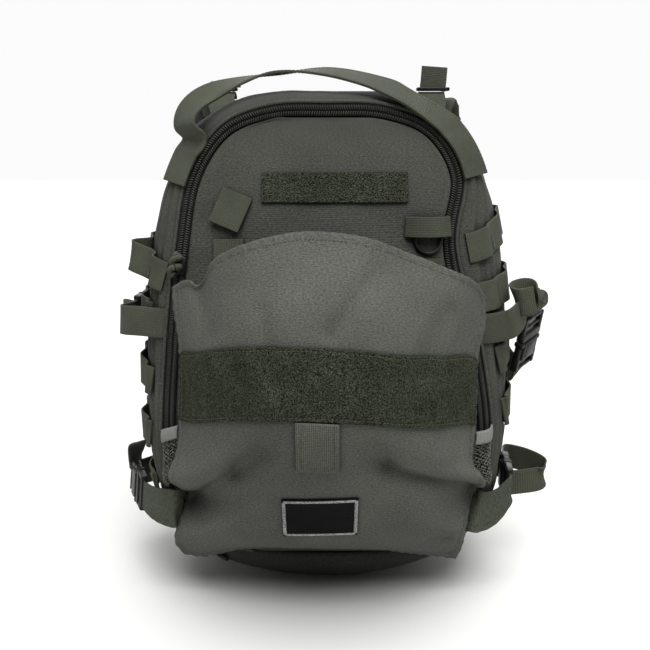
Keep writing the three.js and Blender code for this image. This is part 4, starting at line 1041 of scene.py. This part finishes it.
def wingStops(sign, made):  # from the flap's edge round to the buckle's plug
    shift = Vector((sign * wing["out"], -wing["ahead"], 0))
    low, high = (flapPoint(1 if sign > 0 else 0, wing[key]) + shift for key in ("low", "high"))
    seam = low.lerp(high, 0.5)
    rise = high - low
    bend = sidePlace(sign, wing["bendDeep"], seam.z, wing["bendOff"])["at"]
    end = made["plugEnd"] - made["x"] * straight["strap"]
    tucked = seam - shift + Vector((-sign * wing["tuckAcross"], wing["tuckBack"], 0))
    stops = [{"at": tucked, "wide": rise, "width": rise.length}]
    for k in range(wing["steps"]):
        share = k / wing["steps"]
        at = seam.lerp(bend, share).lerp(bend.lerp(end, share), share)
        wide = rise.normalized().lerp(made["y"], math.sqrt(share))
        stops.append({"at": at, "wide": wide, "width": mixed(rise.length, webbing["width"], share)})
    ends = [{"at": at, "wide": made["y"], "width": webbing["width"]} for at in (end, made["plugEnd"])]
    return stops + ends


for name, strap in compression.items():
    side = name.split("_")[1]
    sign = sides[side]
    made = bucklePiece(f"buckle_{name}", *(Vector(strap[key]) for key in ("at", "along", "wide")))

    def beside(end, away, out=0):
        return {"at": made[end] + made["x"] * away + made["z"] * out, "wide": made["y"]}

    leaving = strap.get("turn", [beside("socketEnd", straight["strap"])])
    backRun = smoothRun([beside("socketEnd", 0), *leaving, *sideStops(sign, strap["back"])])
    webbingPiece(f"back_webbing_{name}", backRun, f"back_strap_{name}")
    if "front" in strap:
        laid = sideStops(sign, strap["front"])
        tucked = {**laid[0], "at": laid[0]["at"] - Vector((sign * tuck["across"], tuck["ahead"], 0))}
        frontStops = [tucked, *laid] + [beside("plugEnd", *row) for row in strap["intoPlug"]]
        webbingPiece(f"front_webbing_{name}", smoothRun(frontStops), f"front_strap_{name}")
        leaving = [beside("plugEnd", *row) for row in strap["outOfPlug"]]
    else:
        wingRun = smoothRun(wingStops(sign, made))
        bandPiece(f"wing_cloth_{side}", wingRun, webbing["width"], wing["thick"], clothWing,
                  [f"flap_wing_{side}"], columns=14)
        wingLines = edgeLines(wingRun, webbing["width"], across=0.8, off=1.1, start=0.05, end=0.95)
        stitchPiece(f"wing_stitching_{side}", wingLines, "cloth")
        leaving = [beside("socketEnd", straight["tail"])]
    tailRun = smoothRun(leaving + strap["tail"])
    bandPiece(f"free_tail_{name}", tailRun, webbing["tail"], webbing["thick"], tapeOlive)
    tailLines = edgeLines(tailRun, webbing["tail"], across=0.8, off=0.9, start=0.82, end=0.98)
    stitchPiece(f"free_tail_stitching_{name}", tailLines, "webbing")
print("compression straps ready")


# grab handle

handle = {"width": 27, "thick": 2.0, "deep": 0.025, "off": 2.1, "across": (0.003, 0.048),
          "rightFoot": (372, 384, 396, 408, 418), "leftFoot": (402, 390, 378, 366)}


def handleFoot(sign, heights):  # sewn flat on the bag's shoulder
    stops = []
    for z in heights:
        front, back = (sidePlace(sign, deep, z)["at"] for deep in handle["across"])
        stops.append({"at": sidePlace(sign, handle["deep"], z, handle["off"])["at"], "wide": back - front})
    return stops


handleFree = [
    stop(64, -55, 439, (0.1, 0.85, 0.5)), stop(40, -44, 450, (0, 0.9, 0.42)),
    stop(0, -32, 459, (0, 0.96, 0.27)), stop(-42, -30, 458, (0, 1, -0.04)),
    stop(-72, -34, 452, (0, 0.97, 0.24)), stop(-98, -42, 442, (-0.2, 0.82, 0.53)),
    stop(-114, -52, 430, (-0.55, 0.75, 0.35)), stop(-119, -60, 415, (-0.7, 0.7, 0)),
]
handleStops = handleFoot(1, handle["rightFoot"]) + handleFree + handleFoot(-1, handle["leftFoot"])
handleRun = smoothRun(handleStops, stepsEach=10)
bandPiece("grab_handle_webbing", handleRun, handle["width"], handle["thick"], tapeOlive, ["grab_handle"],
          columns=12)
stitchPiece("grab_handle_stitching", edgeLines(handleRun, handle["width"], across=0.82, off=1.05), "webbing")
print("grab handle ready")


# what is sewn on the front panel

def panelStop(x, z, off, wideX, wideZ):
    def on(k):
        return Vector((x + k * wideX, panelFace(x + k * wideX, z + k * wideZ), z + k * wideZ))

    return {"at": on(0) + Vector((0, -off, 0)), "wide": (on(1) - on(-1)).normalized()}


sewn = 1.5
frontBand = {"from": -54, "to": 67, "z": 364, "height": 25, "thick": 1.2}
bandStops = [panelStop(mixed(frontBand["from"], frontBand["to"], k / 8), frontBand["z"], sewn, 0, 1)
             for k in range(9)]
bandRun = smoothRun(bandStops, stepsEach=14)
bandPiece("front_loop_pile", bandRun, frontBand["height"], frontBand["thick"], loopGreen,
          ["front_loop_band"], columns=24)
for row in namedRows("side x low high", ("left", -82, 236, 322), ("right", 84, 236, 306)):
    holdStops = [panelStop(row["x"], mixed(row["low"], row["high"], k / 5), sewn, 1, 0) for k in range(6)]
    webbingPiece(f"hold_webbing_{row['side']}", smoothRun(holdStops), f"hold_strap_{row['side']}")

holdTab = {"x": -80, "z": 346, "turn": 0.42, "length": 30, "width": 27, "lift": 3}
leanX, leanZ = math.sin(holdTab["turn"]), math.cos(holdTab["turn"])
tabStops = []
for k in (-0.5, -0.17, 0.17, 0.5):
    along = k * holdTab["length"]
    off = sewn + holdTab["lift"] * (0.5 - k)
    tabStops.append(panelStop(holdTab["x"] + leanX * along, holdTab["z"] + leanZ * along, off, leanZ, -leanX))
bandPiece("hold_tab_webbing", smoothRun(tabStops), holdTab["width"], webbing["thick"], tapeOlive,
          ["hold_tab_left"])

keeper = {"x": 84, "z": 332, "halfWidth": 19, "height": 17, "rise": 7}
keeperStops = []
for k in (-1, -0.6, -0.2, 0.2, 0.6, 1):
    off = sewn + keeper["rise"] * (1 - k * k)
    keeperStops.append(panelStop(keeper["x"] + k * keeper["halfWidth"], keeper["z"], off, 0, 1))
bandPiece("hold_keeper_webbing", smoothRun(keeperStops), keeper["height"], webbing["thick"], tapeOlive,
          ["hold_keeper_right"])

ring = {"radius": 11, "wire": 1.5, "z": 321, "off": 2.1, "steps": 48}
ringStop = panelStop(keeper["x"], ring["z"], ring["off"], 1, 0)
ringUp = panelStop(keeper["x"], ring["z"], 0, 0, 1)["wide"]
ringRun = []
for k in range(ring["steps"]):
    angle = 2 * math.pi * k / ring["steps"]
    out = ringStop["wide"] * math.cos(angle) + ringUp * math.sin(angle)
    along = ringUp * math.cos(angle) - ringStop["wide"] * math.sin(angle)
    ringRun.append({"at": ringStop["at"] + out * ring["radius"], "wide": out, "face": out.cross(along)})
tubePiece("hold_ring", ringRun, ring["wire"], acetal, ["hold_ring_right"], closed=True)

baseStrap = {"around": 0.905, "reach": 0.01, "deeps": (0.04, 0.08, 0.13, 0.18),
             "off": Vector((-0.4, -1.1, -1.3))}
baseStops = []
for deep in baseStrap["deeps"]:
    before, at, after = (bagPoint(baseStrap["around"] + k * baseStrap["reach"], deep) for k in (-1, 0, 1))
    baseStops.append({"at": at + baseStrap["off"], "wide": after - before})
bandPiece("base_strap_webbing", smoothRun(baseStops), webbing["width"], webbing["thick"], tapeBlack,
          ["base_strap_end"])
print("front trims ready")


# padded back panel and shoulder straps

stuffing = {"pressure": 4.0, "quality": 4, "frames": 20}


def swollenPad(piece, voxel, cap):  # lets a pad swell as stuffed cloth does
    fine = piece.modifiers.new("fine", "REMESH")
    fine.mode = "VOXEL"
    fine.voxel_size = voxel * mm
    graph = bpy.context.evaluated_depsgraph_get()
    data = bpy.data.meshes.new_from_object(piece.evaluated_get(graph))
    piece.modifiers.clear()
    piece.data = data
    before = [vert.co.copy() for vert in data.vertices]
    swell = piece.modifiers.new("swell", "CLOTH")
    swell.settings.use_pressure = True
    swell.settings.uniform_pressure_force = stuffing["pressure"]
    swell.settings.effector_weights.gravity = 0
    swell.settings.quality = stuffing["quality"]
    for now in range(1, stuffing["frames"] + 1):
        bpy.context.scene.frame_set(now)
    graph = bpy.context.evaluated_depsgraph_get()
    after = [vert.co.copy() for vert in piece.evaluated_get(graph).data.vertices]
    piece.modifiers.clear()
    bpy.context.scene.frame_set(1)
    for vert, was, now in zip(data.vertices, before, after):
        move = now - was
        vert.co = was + move * min(1, cap * mm / max(move.length, 1e-9))
    data.shade_smooth()
    data.materials.clear()
    data.materials.append(clothPad)
    finer = piece.modifiers.new("finer", "SUBSURF")
    finer.levels = finer.render_levels = 1


pad = {"thick": 11, "edge": 8, "start": 0.045, "end": 0.494, "shrink": 1.5, "cells": (60, 90),
       "size": (290, 430), "fill": 8.5, "channels": (-52, 52), "rungs": (130, 300), "channelWide": 6,
       "channelDeep": 4.0, "faceFrom": 5, "foot": 0.6, "lowest": 0.3, "voxel": 5, "swell": 5}


@functools.lru_cache(maxsize=None)
def padEnds(v):
    around = mixed(pad["start"], pad["end"], v)
    return loopPoint(backLoop, 1 - around), loopPoint(backLoop, around)


def padPlace(u, v):
    left, right = padEnds(v)
    point = right.lerp(left, u)
    point.z = max(point.z, pad["foot"])
    rounding = (pad["thick"] - pad["edge"]) * (2 * u - 1) ** 4
    point.y = bag["back"] + gap + pad["thick"] - pad["shrink"] - rounding
    return point


padMesh = laidGrid(*pad["cells"], padPlace, pad["size"])
padPiece = newPiece("back_pad", padMesh, clothPad, ["back_panel"])
addWall(padPiece, pad["fill"])
swollenPad(padPiece, pad["voxel"], pad["swell"])
for vert in padPiece.data.vertices:
    x, y, z = vert.co / mm
    valley = sum(hump(x, channel, pad["channelWide"]) for channel in pad["channels"])
    if abs(x) < pad["channels"][1]:
        valley += sum(hump(z, rung, pad["channelWide"]) for rung in pad["rungs"])
    if y > bag["back"] + pad["faceFrom"]:
        vert.co.y -= pad["channelDeep"] * min(valley, 1) * mm
    vert.co.z = max(vert.co.z, pad["lowest"] * mm)

level = (1, 0, 0)
shoulder = {"narrow": 4, "shrink": 2.4, "acrossPower": 0.5, "liftPower": 0.6, "cells": 40, "size": (140, 420),
            "voxel": 4, "swell": 3, "anchor": (118, 98, 74), "seat": Vector((0, -2.2, -14)), "sewn": 16,
            "webStops": (0, 0.5, 0.85)}
shoulderRows = namedRows(
    "x y z width thick",
    (82, 99.7, 386, 60, 8), (90, 102, 410, 62, 11), (99, 113, 431, 63, 12), (106, 128, 432, 63, 12),
    (112, 141, 412, 63, 12), (117, 149, 372, 62, 12), (121, 148, 312, 60, 12), (122, 138, 248, 57, 12),
    (121, 124, 188, 50, 9),
)
lock = {"off": 0.6, "long": 26.4, "width": 30, "rungThick": 4.8, "railAt": 13, "railOut": 14.4,
        "railSize": (25.6, 3.8, 6), "rungs": namedRows("at deep", (2.4, 4.6), (12.5, 3.4), (24.0, 3.8))}


def strapThick(v):
    place = v * (len(shoulderRows) - 1)
    i = min(int(place), len(shoulderRows) - 2)
    return mixed(shoulderRows[i]["thick"], shoulderRows[i + 1]["thick"], place - i) - shoulder["shrink"]


for side, sign in sides.items():
    stops = []
    for row in shoulderRows:
        width = row["width"] - shoulder["narrow"]
        stops.append({**stop(sign * row["x"], row["y"], row["z"], level), "width": width})
    run = smoothRun(stops)

    def placeOn(u, v):  # round the strap's section, a flat oval
        row = run[round(v * (len(run) - 1))]
        angle = 2 * math.pi * u
        across, lift = math.cos(angle), math.sin(angle)
        across = math.copysign(abs(across) ** shoulder["acrossPower"], across) * row["width"] / 2
        lift = math.copysign(abs(lift) ** shoulder["liftPower"], lift) * strapThick(v) / 2
        return row["at"] + row["wide"] * across - row["face"] * lift

    strapMesh = laidGrid(shoulder["cells"], len(run) - 1, placeOn, shoulder["size"], closed=True)
    closeEnds(strapMesh)
    strapPiece = newPiece(f"shoulder_pad_{side}", strapMesh, clothPad, [f"shoulder_strap_{side}"])
    swollenPad(strapPiece, shoulder["voxel"], shoulder["swell"])

    foot = stops[-1]["at"]
    anchor = Vector((sign * shoulder["anchor"][0], *shoulder["anchor"][1:]))
    ahead = (anchor - foot).normalized()
    axes = axesOf(ahead, Vector(level))
    wide = axes.to_3x3().col[1]
    lockStart = foot + ahead * lock["off"]
    lockMesh = bmesh.new()
    for rung in lock["rungs"]:
        size = (rung["deep"], lock["width"], lock["rungThick"])
        addBlock(lockMesh, lockStart + ahead * rung["at"], size, axes)
    for edge in (-lock["railOut"], lock["railOut"]):
        addBlock(lockMesh, lockStart + ahead * lock["railAt"] + wide * edge, lock["railSize"], axes)
    newPiece(f"ladder_lock_moulding_{side}", lockMesh, acetal, [f"ladder_lock_{side}"])
    lockEnd = lockStart + ahead * lock["long"]
    seat = anchor + shoulder["seat"]
    places = [lockEnd.lerp(anchor, k) for k in shoulder["webStops"]]
    places += [seat, seat - Vector((0, 0, shoulder["sewn"]))]
    webRun = smoothRun([{"at": at, "wide": wide} for at in places])
    webbingPiece(f"shoulder_webbing_run_{side}", webRun, f"shoulder_webbing_{side}")

lifter = {"sewnDeeps": (0.86, 0.92), "sewnZ": 424, "sewnOff": 1.6, "glide": (104.4, 97.3, 448.35),
          "run": [(103, 82, 434), (103, 90, 442), (103, 100, 445.2), (103, 112, 441.6), (104, 122, 440.2)]}
lifterTails = {
    "left": [(-104, 97, 447.4), (-103.5, 97.6, 451.5), (-102.5, 103, 455), (-101, 113, 455.5),
             (-100, 124, 451)],
    "right": [(104, 97, 447.4), (105, 98, 456), (106, 99, 470)],
}
glide = {"width": 32, "deep": 13, "thick": 3.5, "rail": 3.4, "post": 3.0}
for side, sign in sides.items():
    stops = [sidePlace(sign, deep, lifter["sewnZ"], lifter["sewnOff"]) for deep in lifter["sewnDeeps"]]
    stops = [{"at": row["at"], "wide": row["wide"] if row["wide"].x > 0 else -row["wide"]} for row in stops]
    stops += [stop(sign * x, y, z, level) for x, y, z in lifter["run"]]
    webbingPiece(f"lifter_webbing_{side}", smoothRun(stops), f"load_lifter_{side}")
    tailStops = [stop(*place, level) for place in lifterTails[side]]
    webbingPiece(f"lifter_free_end_{side}", smoothRun(tailStops), f"lifter_tail_{side}")
    middle = Vector((sign * lifter["glide"][0], *lifter["glide"][1:]))
    railSize = (glide["width"], glide["rail"], glide["thick"])
    postSize = (glide["post"], glide["deep"], glide["thick"])
    bar = bmesh.new()
    for edge in (-0.5, 0.5):
        rail = Vector((0, edge * (glide["deep"] - glide["rail"]), 0))
        post = Vector((edge * (glide["width"] - glide["post"]), 0, 0))
        addBlock(bar, middle + rail, railSize, Matrix.Identity(4), corner=1.0)
        addBlock(bar, middle + post, postSize, Matrix.Identity(4), corner=1.0)
    newPiece(f"glide_moulding_{side}", bar, acetal, [f"lifter_glide_{side}"])
print("carrying straps ready")


# floor, light and camera

floorHalf = 6.0  # metres
floorMesh = bmesh.new()
bmesh.ops.create_grid(floorMesh, x_segments=1, y_segments=1, size=floorHalf)
floorData = bpy.data.meshes.new("floor")
floorMesh.to_mesh(floorData)
floorMesh.free()
floor = bpy.data.objects.new("floor", floorData)
bpy.context.collection.objects.link(floor)
floorMaterial, floorTree = blankMaterial("pale floor")
finishMaterial(floorTree, {"Base Color": linearColour("#c4c4c2"), "Roughness": 0.9})
floorData.materials.append(floorMaterial)

world = bpy.data.worlds.new("studio")
bpy.context.scene.world = world
world.use_nodes = True
worldTree = world.node_tree
toward = addNode(worldTree, "TexCoord")
compass = addNode(worldTree, "SeparateXYZ", inputs={0: toward.outputs["Generated"]})
wall = addNode(worldTree, "MapRange", inputs={0: compass.outputs["Y"], 1: 0.1, 2: 0.5, 3: 0.12, 4: 0.97})
worldTree.nodes["Background"].inputs["Color"].default_value = (1, 1, 1, 1)
worldTree.links.new(wall.outputs[0], worldTree.nodes["Background"].inputs["Strength"])
bpy.context.scene.view_settings.view_transform = "Standard"

lights = [  # where each light stands, seen from the pack
    {"name": "key", "from": (0.08, -0.4, 0.91), "strength": 5.5, "spread": 50},
    {"name": "back", "from": (0.1, 0.8, 0.6), "strength": 1.3, "spread": 60},
    {"name": "fill", "from": (0.5, -0.8, 0.3), "strength": 0.1, "spread": 70},
]
for row in lights:
    data = bpy.data.lights.new(row["name"], "SUN")
    data.energy = row["strength"]
    data.angle = math.radians(row["spread"])
    light = bpy.data.objects.new(row["name"], data)
    light.location = Vector(row["from"]) * 2
    light.rotation_euler = (-light.location).to_track_quat("-Z", "Y").to_euler()
    bpy.context.collection.objects.link(light)

view = {"target": Vector((0, 0, 231)), "distance": 900, "rise": math.radians(12), "focal": 962, "image": 650,
        "right": 2, "sensor": 36, "far": 50}
cameraData = bpy.data.cameras.new("camera")
cameraData.sensor_width = view["sensor"]
cameraData.lens = view["sensor"] * view["focal"] / view["image"]
cameraData.shift_x = -view["right"] / view["image"]
cameraData.clip_end = view["far"]
camera = bpy.data.objects.new("camera", cameraData)
away = Vector((0, -math.cos(view["rise"]), math.sin(view["rise"])))
camera.location = (view["target"] + away * view["distance"]) * mm
camera.rotation_euler = (-away).to_track_quat("-Z", "Y").to_euler()
bpy.context.collection.objects.link(camera)
bpy.context.scene.camera = camera
